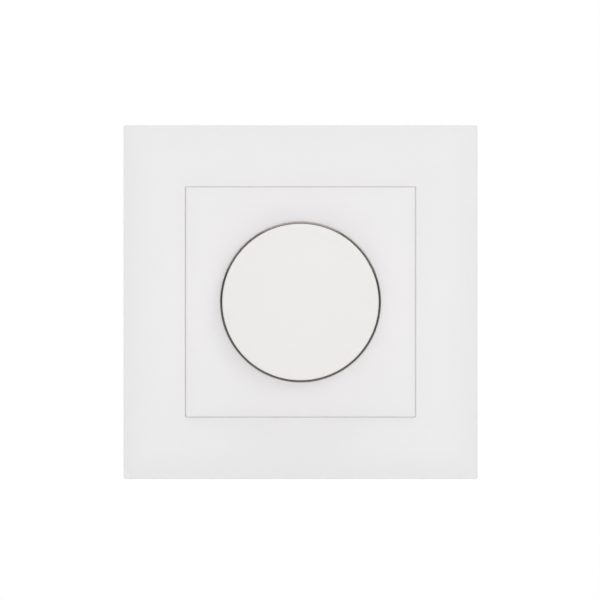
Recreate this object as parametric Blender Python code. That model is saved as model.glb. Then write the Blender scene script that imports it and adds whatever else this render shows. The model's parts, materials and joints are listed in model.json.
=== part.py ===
# Flush rotary dimmer with a push switch, for a 60 mm wall box: a square cover frame, a square centre
# plate and one round knob in front, and a steel support plate with the dimmer insert behind it.
#
# Everything is modelled on a bench frame: x to the right, y up the wall, z out of the wall, with z = 0
# on the wall's face and the knob's axis at x = y = 0. The empty "bench" turns z to -Y of the world.
# The stack of pieces is worked out from the wall in both directions, each from the one before it.

from math import acos, asin, cos, pi, radians, sin

import bmesh
import bpy

MM = 0.001

# Clearances
REST_GAP = 0.3 * MM  # between pieces that touch or rest on each other
SLIP_FIT = 0.15 * MM  # radial, sleeve in hub and shaft in sleeve
RUNNING_FIT = 0.1 * MM  # radial, shaft in bushing
THREAD_GAP = 0.2 * MM  # radial, a bare thread in the hole of a washer, nut or plate
EMBED = 0.5 * MM  # how far a rib or boss runs into the wall that it grows from
OVERRUN = 1.0 * MM  # how far a cutter runs past the face that it opens

# Cover frame
FRAME_SIZE = 84.0 * MM
FRAME_DEPTH = 10.0 * MM
FRAME_WALL = 1.8 * MM
FRAME_FRONT = 1.8 * MM
FRAME_CORNER = 0.5 * MM
COLLAR_WALL = 1.4 * MM
LEDGE_DEPTH = 1.55 * MM
LEDGE_THICKNESS = 1.8 * MM
LEDGE_TOP = 6.0 * MM
RIB_THICKNESS = 1.2 * MM
RIB_OFFSET = 21.0 * MM
RIB_LOW = 5.0 * MM

# Centre plate
PLATE_SIZE = 54.6 * MM
PLATE_PLAY = 0.15 * MM
PLATE_CORNER = 0.3 * MM
PLATE_PROUD = 0.5 * MM
PLATE_FRONT = 1.8 * MM
PLATE_SKIRT = 1.2 * MM
RECESS_DEPTH = 2.1 * MM
RECESS_FLOOR = 1.6 * MM
RECESS_MARGIN = 1.5 * MM  # round the washer
BOSS_WALL = 2.0 * MM
TUBE_WALL = 1.8 * MM
WASHER_WIDTH = 3.4 * MM
WASHER_THICKNESS = 0.5 * MM
PLATE_NUT_THICKNESS = 1.5 * MM
THREAD_END = 0.4 * MM  # thread left standing out of the plate nut

# Knob
KNOB_DIAMETER = 38.0 * MM
KNOB_PUSH = 1.8 * MM
KNOB_FLOAT = 0.5 * MM  # left over the plate when the knob is pressed
KNOB_HEIGHT = 7.0 * MM
KNOB_STEP = 0.2 * MM  # the body's side stands this far inside the ring
KNOB_WALL = 1.5 * MM
KNOB_FRONT = 1.4 * MM
HUB_WALL = 2.05 * MM
SLEEVE_WALL = 1.3 * MM
GRIP_THICKNESS = 0.5 * MM
GRIP_HEIGHT = 2.0 * MM
GRIP_OPENING = 60.0  # degrees
RING_LIP = 0.55 * MM
RING_WIDTH = 1.9 * MM
RING_BASE = 0.8 * MM
RING_SETBACK = 0.4 * MM  # the ring's front stands this far behind the face's
RING_CHAMFER = 0.25 * MM
FACE_PLAY = 0.2 * MM
FACE_THICKNESS = 0.8 * MM
FACE_EDGE = 0.3 * MM

# Support plate and insulating cover
SUPPORT_MARGIN = 4.7 * MM  # to the cover frame's wall
SUPPORT_THICKNESS = 1.2 * MM
SUPPORT_CORNER = 4.0 * MM
BOX_SCREW_SPACING = 60.0 * MM
SLOT_WIDTH = 4.4 * MM
SLOT_LENGTH = 10.0 * MM
KEYHOLE_RADIUS = 3.8 * MM
CORNER_HOLE_RADIUS = 1.7 * MM
CORNER_HOLE_MARGIN = 5.5 * MM
INSULATOR_WALL = 1.2 * MM
INSULATOR_MARGIN_X = 5.4 * MM  # to the frame's ledge; leaves room for the claw screws
INSULATOR_MARGIN_Y = 2.9 * MM
INSULATOR_CORNER = 3.0 * MM

# Potentiometer
SHAFT_RADIUS = 2.0 * MM
FLAT_DEPTH = 0.5 * MM
THREAD_RADIUS = 4.9 * MM
NUT_WALL = 2.1 * MM
POT_NUT_THICKNESS = 2.0 * MM
POT_RADIUS = 10.0 * MM
FLANGE_THICKNESS = 1.5 * MM
CUP_WALL = 1.2 * MM
CUP_FLOOR = 1.0 * MM
CUP_HEADROOM = 0.5 * MM
TRACK_THICKNESS = 0.8 * MM
TRACK_INSIDE = 4.0 * MM
TRACK_MARGIN = 0.4 * MM
TRACK_SWEEP = 300.0  # degrees
CONTACT_THICKNESS = 0.2 * MM
CONTACT_SWEEP = 70.0  # degrees
CONTACT_INSIDE = 4.4 * MM
ROTOR_THICKNESS = 1.4 * MM
ROTOR_MARGIN = 0.6 * MM
ROTOR_HUB_WALL = 1.4 * MM
ROTOR_HUB_HEIGHT = 0.6 * MM
GROOVE_DEPTH = 0.5 * MM
CLIP_THICKNESS = 0.6 * MM
CLIP_WIDTH = 1.2 * MM
CLIP_OPENING = 70.0  # degrees
CLIP_PLAY = 0.1 * MM
SHAFT_TAIL = 0.4 * MM

# Push switch
SWITCH_SIZE = 13.0 * MM
SWITCH_CORNER = 0.8 * MM
SWITCH_HEIGHT = 7.9 * MM
WELL_MARGIN = 0.4 * MM
WELL_FLOOR = 0.8 * MM
PLUNGER_HEIGHT = 1.5 * MM
SPRING_WIRE = 0.3 * MM
SPRING_MARGIN = 0.35 * MM  # from the coil's outside to the well
SPRING_TURNS = 5

# Circuit board and what stands on it
BOARD_THICKNESS = 1.6 * MM
BOARD_MARGIN = 0.5 * MM
CHOKE_RADIUS = 7.2 * MM
CHOKE_BORE = 2.4 * MM
CHOKE_HEIGHT = 5.8 * MM
CHOKE_GAP = 0.6 * MM  # to the switch body
WINDING_WALL = 0.8 * MM
WINDING_SWEEP = 310.0  # degrees
FILM_SIDE_GAP = 1.25 * MM  # to the housing's screw bosses
FILM_DEPTH = 7.0 * MM
FILM_HEIGHT = 11.0 * MM
FILM_GAP = 1.5 * MM  # to the potentiometer
CAN_RADIUS = 4.0 * MM
CAN_HEIGHT = 9.0 * MM
CAN_Y = -4.0 * MM
CAN_GAP = 1.0 * MM  # to the board's edge
TRIAC_LENGTH = 15.0 * MM
TRIAC_WIDTH = 10.0 * MM
TRIAC_THICKNESS = 4.5 * MM
TRIAC_GAP = 1.5 * MM  # to the potentiometer
TAB_LENGTH = 6.0 * MM
TAB_THICKNESS = 1.3 * MM
TAB_HOLE_INSET = 2.8 * MM
LEG_SIZE = 0.8 * MM
LEG_PITCH = 2.54 * MM
LEG_REACH = 2.4 * MM
TRIAC_SCREW_RADIUS = 1.3 * MM
TRIAC_HEAD_RADIUS = 2.6 * MM
TRIAC_HEAD_HEIGHT = 1.5 * MM
FUSE_RADIUS = 2.6 * MM
FUSE_LENGTH = 20.0 * MM
FUSE_CAP_LENGTH = 5.0 * MM
FUSE_CAP_WALL = 0.35 * MM
GLASS_PLAY = 0.1 * MM
GLASS_WALL = 0.5 * MM
FUSE_GAP = 4.2 * MM  # from the switch body's side
CLIP_SHEET = 0.6 * MM
CLIP_LENGTH = 3.6 * MM
CLIP_ARM = 2.0 * MM  # over the fuse's axis

# Housing
HOUSING_RADIUS = 26.5 * MM
HOUSING_HALF_WIDTH = 21.5 * MM
HOUSING_BOTTOM = 23.5 * MM
HOUSING_WALL = 1.5 * MM
BOSS_RADIUS = 3.0 * MM
BOSS_INSET_X = 4.1 * MM  # from the screw's head to the insulating cover's wall
BOSS_INSET_Y = 1.6 * MM
HOUSING_SCREW_RADIUS = 1.1 * MM
HOUSING_SCREW_REACH = 10.0 * MM
HOUSING_HEAD_RADIUS = 2.2 * MM
HOUSING_HEAD_HEIGHT = 1.5 * MM
PARTITION_THICKNESS = 1.2 * MM
EAR_GAP = 0.4 * MM
EAR_THICKNESS = 2.0 * MM
EAR_REACH = 1.7 * MM  # round the pin

# Terminals
TERMINAL_PITCH = 8.5 * MM
TERMINAL_INSET = 5.0 * MM  # from the housing's inner wall to the screws
CAGE_HEADROOM = 0.7 * MM
CAGE_WIDTH = 6.4 * MM
CAGE_LENGTH = 5.6 * MM
CAGE_HEIGHT = 6.4 * MM
CAGE_WALL = 1.0 * MM
CAGE_SIDE = 0.8 * MM
BAR_THICKNESS = 1.0 * MM
BAR_PLAY = 0.2 * MM
BAR_END = 0.2 * MM  # past the cage
TERMINAL_SCREW_RADIUS = 1.7 * MM
TERMINAL_TIP = 0.7 * MM  # the screw's tip past the cage's rear wall
CLAMPED_GAP = 0.4 * MM  # left between the bar and a closed cage
TERMINAL_HEAD_RADIUS = 2.9 * MM
TERMINAL_HEAD_HEIGHT = 1.7 * MM
TERMINAL_SINK = 0.3 * MM
ENTRY_WIDTH = 5.0 * MM
ENTRY_HEIGHT = 4.6 * MM
ENTRY_CORNER = 0.8 * MM

# Claws
BARREL_RADIUS = 1.4 * MM
PIN_RADIUS = 0.75 * MM
PIN_SINK = 0.2 * MM
PIVOT_DEPTH = 2.9 * MM
CLAW_WIDTH = 8.0 * MM
CLAW_LENGTH = 15.0 * MM
CLAW_SHEET = 1.0 * MM
CLAW_TIP = 4.5 * MM
CLAW_NOTCH = 2.6 * MM
LUG_LENGTH = 5.9 * MM
LUG_LOW = -1.6 * MM
LUG_HIGH = -0.4 * MM
LEVER = 3.2 * MM  # from the pivot to the claw screw
CLAW_SCREW_RADIUS = 1.5 * MM
CLAW_SLOT_PLAY = 0.55 * MM
CLAW_SCREW_REACH = 5.2 * MM
CLAW_HEAD_RADIUS = 2.8 * MM
CLAW_HEAD_HEIGHT = 1.7 * MM
SCREW_SLOT = 0.8 * MM
SCREW_SLOT_DEPTH = 0.8 * MM

# How finely round pieces are faceted
KNOB_STEPS = 56
ROUND_STEPS = 32
SMALL_STEPS = 20
THREAD_STEPS = 16
CORNER_STEPS = 3

# Half sizes of the squares
frame_half = FRAME_SIZE / 2
plate_half = PLATE_SIZE / 2
opening_half = plate_half + PLATE_PLAY
ledge_half = opening_half - LEDGE_DEPTH
collar_half = opening_half + COLLAR_WALL
support_half = frame_half - FRAME_WALL - SUPPORT_MARGIN
insulator_half_x = ledge_half - INSULATOR_MARGIN_X
insulator_half_y = ledge_half - INSULATOR_MARGIN_Y

# Radii that follow the shaft and its thread
nut_radius = (THREAD_RADIUS + NUT_WALL) / cos(pi / 6)
washer_radius = THREAD_RADIUS + THREAD_GAP + WASHER_WIDTH
recess_radius = washer_radius + RECESS_MARGIN
sleeve_radius = SHAFT_RADIUS + SLEEVE_WALL
hub_bore = sleeve_radius + SLIP_FIT
hub_radius = hub_bore + HUB_WALL
groove_radius = SHAFT_RADIUS - GROOVE_DEPTH
clip_radius = groove_radius + CLIP_PLAY + CLIP_WIDTH
well_radius = clip_radius + WELL_MARGIN
plunger_radius = well_radius - REST_GAP

# The stack in front of the wall
support_front = SUPPORT_THICKNESS
on_support = support_front + REST_GAP
insulator_under = on_support + POT_NUT_THICKNESS + REST_GAP
insulator_front = insulator_under + INSULATOR_WALL
plate_front = FRAME_DEPTH + PLATE_PROUD
recess_floor = plate_front - RECESS_DEPTH
washer_low = recess_floor + REST_GAP
plate_nut_low = washer_low + WASHER_THICKNESS + REST_GAP
thread_top = plate_nut_low + PLATE_NUT_THICKNESS + THREAD_END
knob_low = plate_front + KNOB_PUSH + KNOB_FLOAT
knob_top = knob_low + KNOB_HEIGHT
knob_under = knob_top - KNOB_FRONT
hub_low = thread_top + KNOB_PUSH + REST_GAP
ring_low = knob_top + REST_GAP
face_under = ring_low + RING_BASE + REST_GAP
face_front = face_under + FACE_THICKNESS
sleeve_top = knob_under - REST_GAP
shaft_top = sleeve_top - 2 * RUNNING_FIT

# The stack behind the wall
flange_low = -REST_GAP - FLANGE_THICKNESS
cup_top = flange_low - REST_GAP
rotor_top = cup_top - CUP_HEADROOM - ROTOR_HUB_HEIGHT
rotor_low = rotor_top - ROTOR_THICKNESS
contact_top = rotor_low - REST_GAP
contact_low = contact_top - CONTACT_THICKNESS
track_top = contact_low - REST_GAP
track_low = track_top - TRACK_THICKNESS
cup_inside = track_low - REST_GAP
cup_low = cup_inside - CUP_FLOOR
clip_top = cup_low - REST_GAP
clip_low = clip_top - CLIP_THICKNESS
shaft_end = clip_low - CLIP_PLAY - SHAFT_TAIL
switch_top = cup_low - REST_GAP
switch_low = switch_top - SWITCH_HEIGHT
plunger_top = shaft_end - REST_GAP
plunger_low = plunger_top - PLUNGER_HEIGHT
board_top = switch_low - REST_GAP
board_low = board_top - BOARD_THICKNESS
on_board = switch_low
cage_top = board_low - CAGE_HEADROOM
cage_low = cage_top - CAGE_HEIGHT
screw_tip = cage_low + CAGE_WALL + TERMINAL_TIP
bar_low = screw_tip + REST_GAP
bar_top = bar_low + BAR_THICKNESS
cage_travel = cage_top - CAGE_WALL - bar_top - CLAMPED_GAP
terminal_head_top = cage_low - cage_travel - REST_GAP
terminal_head_low = terminal_head_top - TERMINAL_HEAD_HEIGHT
housing_rear = terminal_head_low - TERMINAL_SINK
housing_floor = housing_rear + HOUSING_WALL
housing_top = -REST_GAP

# Places on the wall's plane
boss_x = insulator_half_x - INSULATOR_WALL - HOUSING_HEAD_RADIUS - BOSS_INSET_X
boss_y = insulator_half_y - INSULATOR_WALL - HOUSING_HEAD_RADIUS - BOSS_INSET_Y
pivot_x = HOUSING_HALF_WIDTH + REST_GAP + BARREL_RADIUS
claw_screw_x = pivot_x + LEVER
terminal_y = -(HOUSING_BOTTOM - HOUSING_WALL) + TERMINAL_INSET
triac_y = -(POT_RADIUS + TRIAC_GAP + TRIAC_WIDTH / 2)
triac_left = -TRIAC_LENGTH / 2
triac_screw_x = triac_left + TAB_HOLE_INSET
choke_y = -(SWITCH_SIZE / 2 + CHOKE_GAP + CHOKE_RADIUS)
fuse_x = -(SWITCH_SIZE / 2 + FUSE_GAP + REST_GAP + FUSE_RADIUS + CLIP_SHEET)
clip_base_top = on_board + CLIP_SHEET
fuse_z = clip_base_top + REST_GAP + FUSE_RADIUS


# ---- outlines: lists of (a, b) points, anticlockwise ----


def arc(radius, start, end, steps, centre=(0, 0)):
    turns = [start + (end - start) * i / steps for i in range(steps + 1)]
    return [(centre[0] + radius * cos(t), centre[1] + radius * sin(t)) for t in turns]


def circle(radius, steps, centre=(0, 0)):
    return arc(radius, 0, 2 * pi, steps, centre)[:-1]


def rectangle(left, low, right, high):
    return [(left, low), (right, low), (right, high), (left, high)]


def rounded(half_x, half_y, corner, centre=(0, 0)):
    points = []
    for quarter, (side_x, side_y) in enumerate([(1, 1), (-1, 1), (-1, -1), (1, -1)]):
        middle = (centre[0] + side_x * (half_x - corner), centre[1] + side_y * (half_y - corner))
        points += arc(corner, quarter * pi / 2, (quarter + 1) * pi / 2, CORNER_STEPS, middle)
    return points


def d_shape(radius, flat, steps):
    """A circle with a flat across it at x = flat."""
    side = acos(flat / radius)
    return arc(radius, side, 2 * pi - side, steps)


def oblong(length, width, centre):
    """A slot that runs along the second direction, with round ends."""
    end = (length - width) / 2
    top = arc(width / 2, 0, pi, SMALL_STEPS // 2, (centre[0], centre[1] + end))
    return top + arc(width / 2, pi, 2 * pi, SMALL_STEPS // 2, (centre[0], centre[1] - end))


def housing_outline(inset):
    """A circle cut off by straight walls at both sides and at the bottom."""
    radius = HOUSING_RADIUS - inset
    side = acos((HOUSING_HALF_WIDTH - inset) / radius)
    foot = asin((HOUSING_BOTTOM - inset) / radius)
    points = arc(radius, side, pi - side, 12)
    points += arc(radius, pi + side, pi + foot, 3)
    return points + arc(radius, 2 * pi - foot, 2 * pi - side, 3)


def sector(inside, outside, sweep, middle, steps):
    """A flat ring open opposite to the direction middle, all in degrees."""
    start = radians(middle - sweep / 2)
    end = radians(middle + sweep / 2)
    return arc(outside, start, end, steps) + arc(inside, end, start, steps)


# ---- shapes: meshes in the bench frame or round their own origin ----


def mesh_of(shape):
    bmesh.ops.recalc_face_normals(shape, faces=shape.faces)
    mesh = bpy.data.meshes.new("shape")
    shape.to_mesh(mesh)
    shape.free()
    return mesh


def extruded(outline, low, high, along="Z"):
    """An outline pushed from low to high. Along Y its points are (x, z), along X they are (y, z)."""
    shape = bmesh.new()
    if along == "Z":
        points = [(a, b, low) for a, b in outline]
        push = (0, 0, high - low)
    elif along == "Y":
        points = [(a, low, b) for a, b in outline]
        push = (0, high - low, 0)
    else:
        points = [(low, a, b) for a, b in outline]
        push = (high - low, 0, 0)
    base = shape.faces.new([shape.verts.new(point) for point in points])
    end = bmesh.ops.extrude_face_region(shape, geom=[base])["geom"]
    moved = [item for item in end if isinstance(item, bmesh.types.BMVert)]
    bmesh.ops.translate(shape, vec=push, verts=moved)
    return mesh_of(shape)


def box(low, high):
    return extruded(rectangle(low[0], low[1], high[0], high[1]), low[2], high[2])


def turned(profile, steps):
    """A profile of (radius, z) points turned about z. One that starts and ends at radius 0 is solid."""
    shape = bmesh.new()
    points = [shape.verts.new((radius, 0, z)) for radius, z in profile]
    pairs = list(zip(points, points[1:]))
    if profile[0][0] > 0:
        pairs.append((points[-1], points[0]))
    edges = [shape.edges.new(pair) for pair in pairs]
    bmesh.ops.spin(
        shape, geom=points + edges, axis=(0, 0, 1), cent=(0, 0, 0), angle=2 * pi, steps=steps, use_merge=True
    )
    bmesh.ops.remove_doubles(shape, verts=shape.verts, dist=0.001 * MM)
    return mesh_of(shape)


def disc(radius, low, high, steps, centre=(0, 0)):
    return extruded(circle(radius, steps, centre), low, high)


def lofted(rings, closed=False):
    """Rings of equally many points joined one to the next: capped at both ends, or closed to a loop."""
    shape = bmesh.new()
    loops = [[shape.verts.new(point) for point in ring] for ring in rings]
    pairs = list(zip(loops, loops[1:]))
    if closed:
        pairs.append((loops[-1], loops[0]))
    else:
        shape.faces.new(loops[0])
        shape.faces.new(loops[-1])
    for near, far in pairs:
        for i, corner in enumerate(near):
            following = (i + 1) % len(near)
            shape.faces.new((corner, near[following], far[following], far[i]))
    return mesh_of(shape)


def joined(*shapes):
    """Several shapes that don't meet, as one mesh."""
    shape = bmesh.new()
    for mesh in shapes:
        shape.from_mesh(mesh)
    mesh = bpy.data.meshes.new("shape")
    shape.to_mesh(mesh)
    shape.free()
    return mesh


def boolean(operation, body, tool):
    """The body with the tool joined to it or cut out of it, as a new mesh."""
    pair = [bpy.data.objects.new("working_shape", mesh) for mesh in (body, tool)]
    for item in pair:
        bpy.context.scene.collection.objects.link(item)
    modifier = pair[0].modifiers.new("cut", "BOOLEAN")
    modifier.operation = operation
    modifier.solver = "EXACT"
    modifier.object = pair[1]
    graph = bpy.context.evaluated_depsgraph_get()
    result = bpy.data.meshes.new_from_object(pair[0].evaluated_get(graph))
    for item in pair:
        bpy.data.objects.remove(item)
    return result


def with_added(body, *tools):
    for tool in tools:
        body = boolean("UNION", body, tool)
    return body


def with_cut(body, *tools):
    for tool in tools:
        body = boolean("DIFFERENCE", body, tool)
    return body


# ---- materials ----


def finish(name, colour, roughness, metallic=0.0, alpha=1.0):
    material = bpy.data.materials.new(name)
    material.use_nodes = True
    shader = material.node_tree.nodes["Principled BSDF"]
    shader.inputs["Base Color"].default_value = (*colour, 1)
    shader.inputs["Roughness"].default_value = roughness
    shader.inputs["Metallic"].default_value = metallic
    shader.inputs["Alpha"].default_value = alpha
    return material


def make_finishes():
    return {
        "white_plastic": finish("white_plastic", (0.83, 0.81, 0.82), 0.35),
        "dark_chrome": finish("dark_chrome", (0.34, 0.32, 0.31), 0.15, 1.0),
        "zinc_steel": finish("zinc_steel", (0.62, 0.63, 0.64), 0.35, 1.0),
        "spring_steel": finish("spring_steel", (0.50, 0.50, 0.50), 0.30, 1.0),
        "brass": finish("brass", (0.70, 0.52, 0.24), 0.30, 1.0),
        "housing_grey": finish("housing_grey", (0.60, 0.61, 0.60), 0.50),
        "black_plastic": finish("black_plastic", (0.03, 0.03, 0.03), 0.45),
        "resin_brown": finish("resin_brown", (0.23, 0.11, 0.05), 0.55),
        "carbon_track": finish("carbon_track", (0.02, 0.02, 0.02), 0.60),
        "board_green": finish("board_green", (0.05, 0.20, 0.08), 0.45),
        "ferrite": finish("ferrite", (0.09, 0.09, 0.10), 0.60),
        "copper_wire": finish("copper_wire", (0.68, 0.27, 0.12), 0.30, 1.0),
        "capacitor_yellow": finish("capacitor_yellow", (0.72, 0.48, 0.05), 0.45),
        "capacitor_blue": finish("capacitor_blue", (0.04, 0.10, 0.32), 0.40),
        "tinned_metal": finish("tinned_metal", (0.72, 0.72, 0.70), 0.30, 1.0),
        "fuse_glass": finish("fuse_glass", (0.86, 0.90, 0.88), 0.05, alpha=0.35),
    }


def place(name, mesh, material, parent, location=(0, 0, 0), rotation=(0, 0, 0)):
    mesh.name = name
    mesh.materials.clear()
    mesh.materials.append(material)
    mesh.shade_smooth()
    mesh.set_sharp_from_angle(angle=radians(35))
    item = bpy.data.objects.new(name, mesh)
    item.parent = parent
    item.location = location
    item.rotation_euler = rotation
    bpy.context.scene.collection.objects.link(item)
    return item


def guide(name, parent=None, location=(0, 0, 0), rotation=(0, 0, 0)):
    """An empty that carries what turns, slides or stands on it."""
    item = bpy.data.objects.new(name, None)
    item.parent = parent
    item.location = location
    item.rotation_euler = rotation
    bpy.context.scene.collection.objects.link(item)
    return item


# ---- front pieces ----


def cover_frame(bench, finishes):
    """A square tray with a collar round the opening and a ledge in it for the centre plate."""
    wall_inside = frame_half - FRAME_WALL
    under = FRAME_DEPTH - FRAME_FRONT
    ledge_low = LEDGE_TOP - LEDGE_THICKNESS
    section = [
        (frame_half, 0, FRAME_CORNER),
        (frame_half, FRAME_DEPTH, FRAME_CORNER),
        (opening_half, FRAME_DEPTH, PLATE_CORNER),
        (opening_half, LEDGE_TOP, PLATE_CORNER),
        (ledge_half, LEDGE_TOP, PLATE_CORNER),
        (ledge_half, ledge_low, PLATE_CORNER),
        (collar_half, ledge_low, FRAME_CORNER),
        (collar_half, under, FRAME_CORNER),
        (wall_inside, under, FRAME_CORNER),
        (wall_inside, 0, FRAME_CORNER),
    ]
    rings = [[(x, y, z) for x, y in rounded(half, half, corner)] for half, z, corner in section]
    ribs = []
    near = collar_half - EMBED
    far = wall_inside + EMBED
    for side in (-1, 1):
        middle = side * RIB_OFFSET
        low = middle - RIB_THICKNESS / 2
        high = middle + RIB_THICKNESS / 2
        ribs.append(box((near, low, RIB_LOW), (far, high, under + EMBED)))
        ribs.append(box((-far, low, RIB_LOW), (-near, high, under + EMBED)))
        ribs.append(box((low, near, RIB_LOW), (high, far, under + EMBED)))
        ribs.append(box((low, -far, RIB_LOW), (high, -near, under + EMBED)))
    shape = with_added(lofted(rings, closed=True), joined(*ribs))
    place("cover_frame", shape, finishes["white_plastic"], bench)


def centre_plate(bench, finishes):
    """A shallow square cap with a sunk boss that the plate nut holds down."""
    skirt_low = LEDGE_TOP + REST_GAP
    under = plate_front - PLATE_FRONT
    floor_under = recess_floor - RECESS_FLOOR
    tube_low = insulator_front + REST_GAP
    hole = THREAD_RADIUS + REST_GAP
    inside = plate_half - PLATE_SKIRT
    shape = extruded(rounded(plate_half, plate_half, PLATE_CORNER), skirt_low, plate_front)
    pocket = extruded(rounded(inside, inside, PLATE_CORNER), skirt_low - OVERRUN, under)
    boss = [
        (0, tube_low),
        (hole + TUBE_WALL, tube_low),
        (hole + TUBE_WALL, floor_under),
        (recess_radius + BOSS_WALL, floor_under),
        (recess_radius + BOSS_WALL, under + EMBED),
        (0, under + EMBED),
    ]
    sunk = [
        (0, tube_low - OVERRUN),
        (hole, tube_low - OVERRUN),
        (hole, recess_floor),
        (recess_radius, recess_floor),
        (recess_radius, plate_front + OVERRUN),
        (0, plate_front + OVERRUN),
    ]
    shape = with_added(with_cut(shape, pocket), turned(boss, ROUND_STEPS))
    shape = with_cut(shape, turned(sunk, ROUND_STEPS))
    place("centre_plate", shape, finishes["white_plastic"], bench)


def plate_fixing(bench, finishes):
    washer = washer_low, washer_low + WASHER_THICKNESS
    shape = disc(washer_radius, *washer, ROUND_STEPS)
    hole = disc(THREAD_RADIUS + THREAD_GAP, washer[0] - OVERRUN, washer[1] + OVERRUN, ROUND_STEPS)
    place("plate_washer", with_cut(shape, hole), finishes["zinc_steel"], bench)
    shape = hex_nut(plate_nut_low, PLATE_NUT_THICKNESS)
    place("plate_nut", shape, finishes["brass"], bench)


def hex_nut(low, thickness):
    hole = disc(THREAD_RADIUS + RUNNING_FIT, low - OVERRUN, low + thickness + OVERRUN, ROUND_STEPS)
    return with_cut(disc(nut_radius, low, low + thickness, 6), hole)


def knob(axis, finishes):
    """The knob in its own pieces: body, trim ring, face, and the sleeve and spring ring of its hub."""
    outer = KNOB_DIAMETER / 2
    side = outer - KNOB_STEP
    body = [
        (0, knob_top),
        (side, knob_top),
        (side, knob_low),
        (side - KNOB_WALL, knob_low),
        (side - KNOB_WALL, knob_under),
        (hub_radius, knob_under),
        (hub_radius, hub_low),
        (hub_bore, hub_low),
        (hub_bore, knob_under),
        (0, knob_under),
    ]
    place("knob_body", turned(body, KNOB_STEPS), finishes["white_plastic"], axis)

    face_radius = outer - RING_LIP
    lip_inside = face_radius + FACE_PLAY
    ring_top = face_front - RING_SETBACK
    ring_inside = outer - RING_WIDTH
    ring = [
        (outer, ring_low),
        (outer, ring_top - RING_CHAMFER),
        (outer - RING_CHAMFER, ring_top),
        (lip_inside, ring_top),
        (lip_inside, ring_low + RING_BASE),
        (ring_inside, ring_low + RING_BASE),
        (ring_inside, ring_low),
    ]
    place("knob_trim_ring", turned(ring, KNOB_STEPS), finishes["dark_chrome"], axis)

    spigot = ring_inside - REST_GAP
    face = [
        (0, face_front),
        (face_radius - FACE_EDGE, face_front),
        (face_radius, face_front - FACE_EDGE),
        (face_radius, face_under),
        (spigot, face_under),
        (spigot, ring_low),
        (0, ring_low),
    ]
    place("knob_face", turned(face, KNOB_STEPS), finishes["white_plastic"], axis)

    sleeve_low = hub_low + REST_GAP
    bore_radius = SHAFT_RADIUS + SLIP_FIT
    bore = d_shape(bore_radius, SHAFT_RADIUS - FLAT_DEPTH + SLIP_FIT, SMALL_STEPS)
    sleeve = disc(sleeve_radius, sleeve_low, sleeve_top, SMALL_STEPS)
    sleeve = with_cut(sleeve, extruded(bore, sleeve_low - OVERRUN, sleeve_top + OVERRUN))
    place("shaft_sleeve", sleeve, finishes["black_plastic"], axis)

    grip_inside = hub_radius + THREAD_GAP
    grip_low = hub_low + (knob_under - hub_low - GRIP_HEIGHT) / 2
    open_ring = sector(grip_inside, grip_inside + GRIP_THICKNESS, 360 - GRIP_OPENING, 90, SMALL_STEPS)
    shape = extruded(open_ring, grip_low, grip_low + GRIP_HEIGHT)
    place("grip_ring", shape, finishes["spring_steel"], axis)


# ---- potentiometer ----


def control_shaft(axis, finishes):
    """The shaft, flat where it drives the sleeve and the wiper, with a groove for its clip."""
    groove_top = clip_top + CLIP_PLAY
    groove_low = clip_low - CLIP_PLAY
    profile = [
        (0, shaft_top),
        (SHAFT_RADIUS, shaft_top),
        (SHAFT_RADIUS, groove_top),
        (groove_radius, groove_top),
        (groove_radius, groove_low),
        (SHAFT_RADIUS, groove_low),
        (SHAFT_RADIUS, shaft_end),
        (0, shaft_end),
    ]
    flat = SHAFT_RADIUS - FLAT_DEPTH
    beyond = SHAFT_RADIUS + OVERRUN
    driven_low = cup_low + REST_GAP
    driven_top = rotor_top + ROTOR_HUB_HEIGHT + KNOB_PUSH + REST_GAP
    wiper_flat = box((flat, -beyond, driven_low), (beyond, beyond, driven_top))
    knob_flat = box((flat, -beyond, hub_low - REST_GAP), (beyond, beyond, shaft_top + OVERRUN))
    shape = with_cut(turned(profile, SMALL_STEPS), joined(wiper_flat, knob_flat))
    place("control_shaft", shape, finishes["zinc_steel"], axis)

    clip = sector(groove_radius + CLIP_PLAY, clip_radius, 360 - CLIP_OPENING, 180, SMALL_STEPS)
    place("shaft_clip", extruded(clip, clip_low, clip_top), finishes["spring_steel"], axis)


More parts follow.
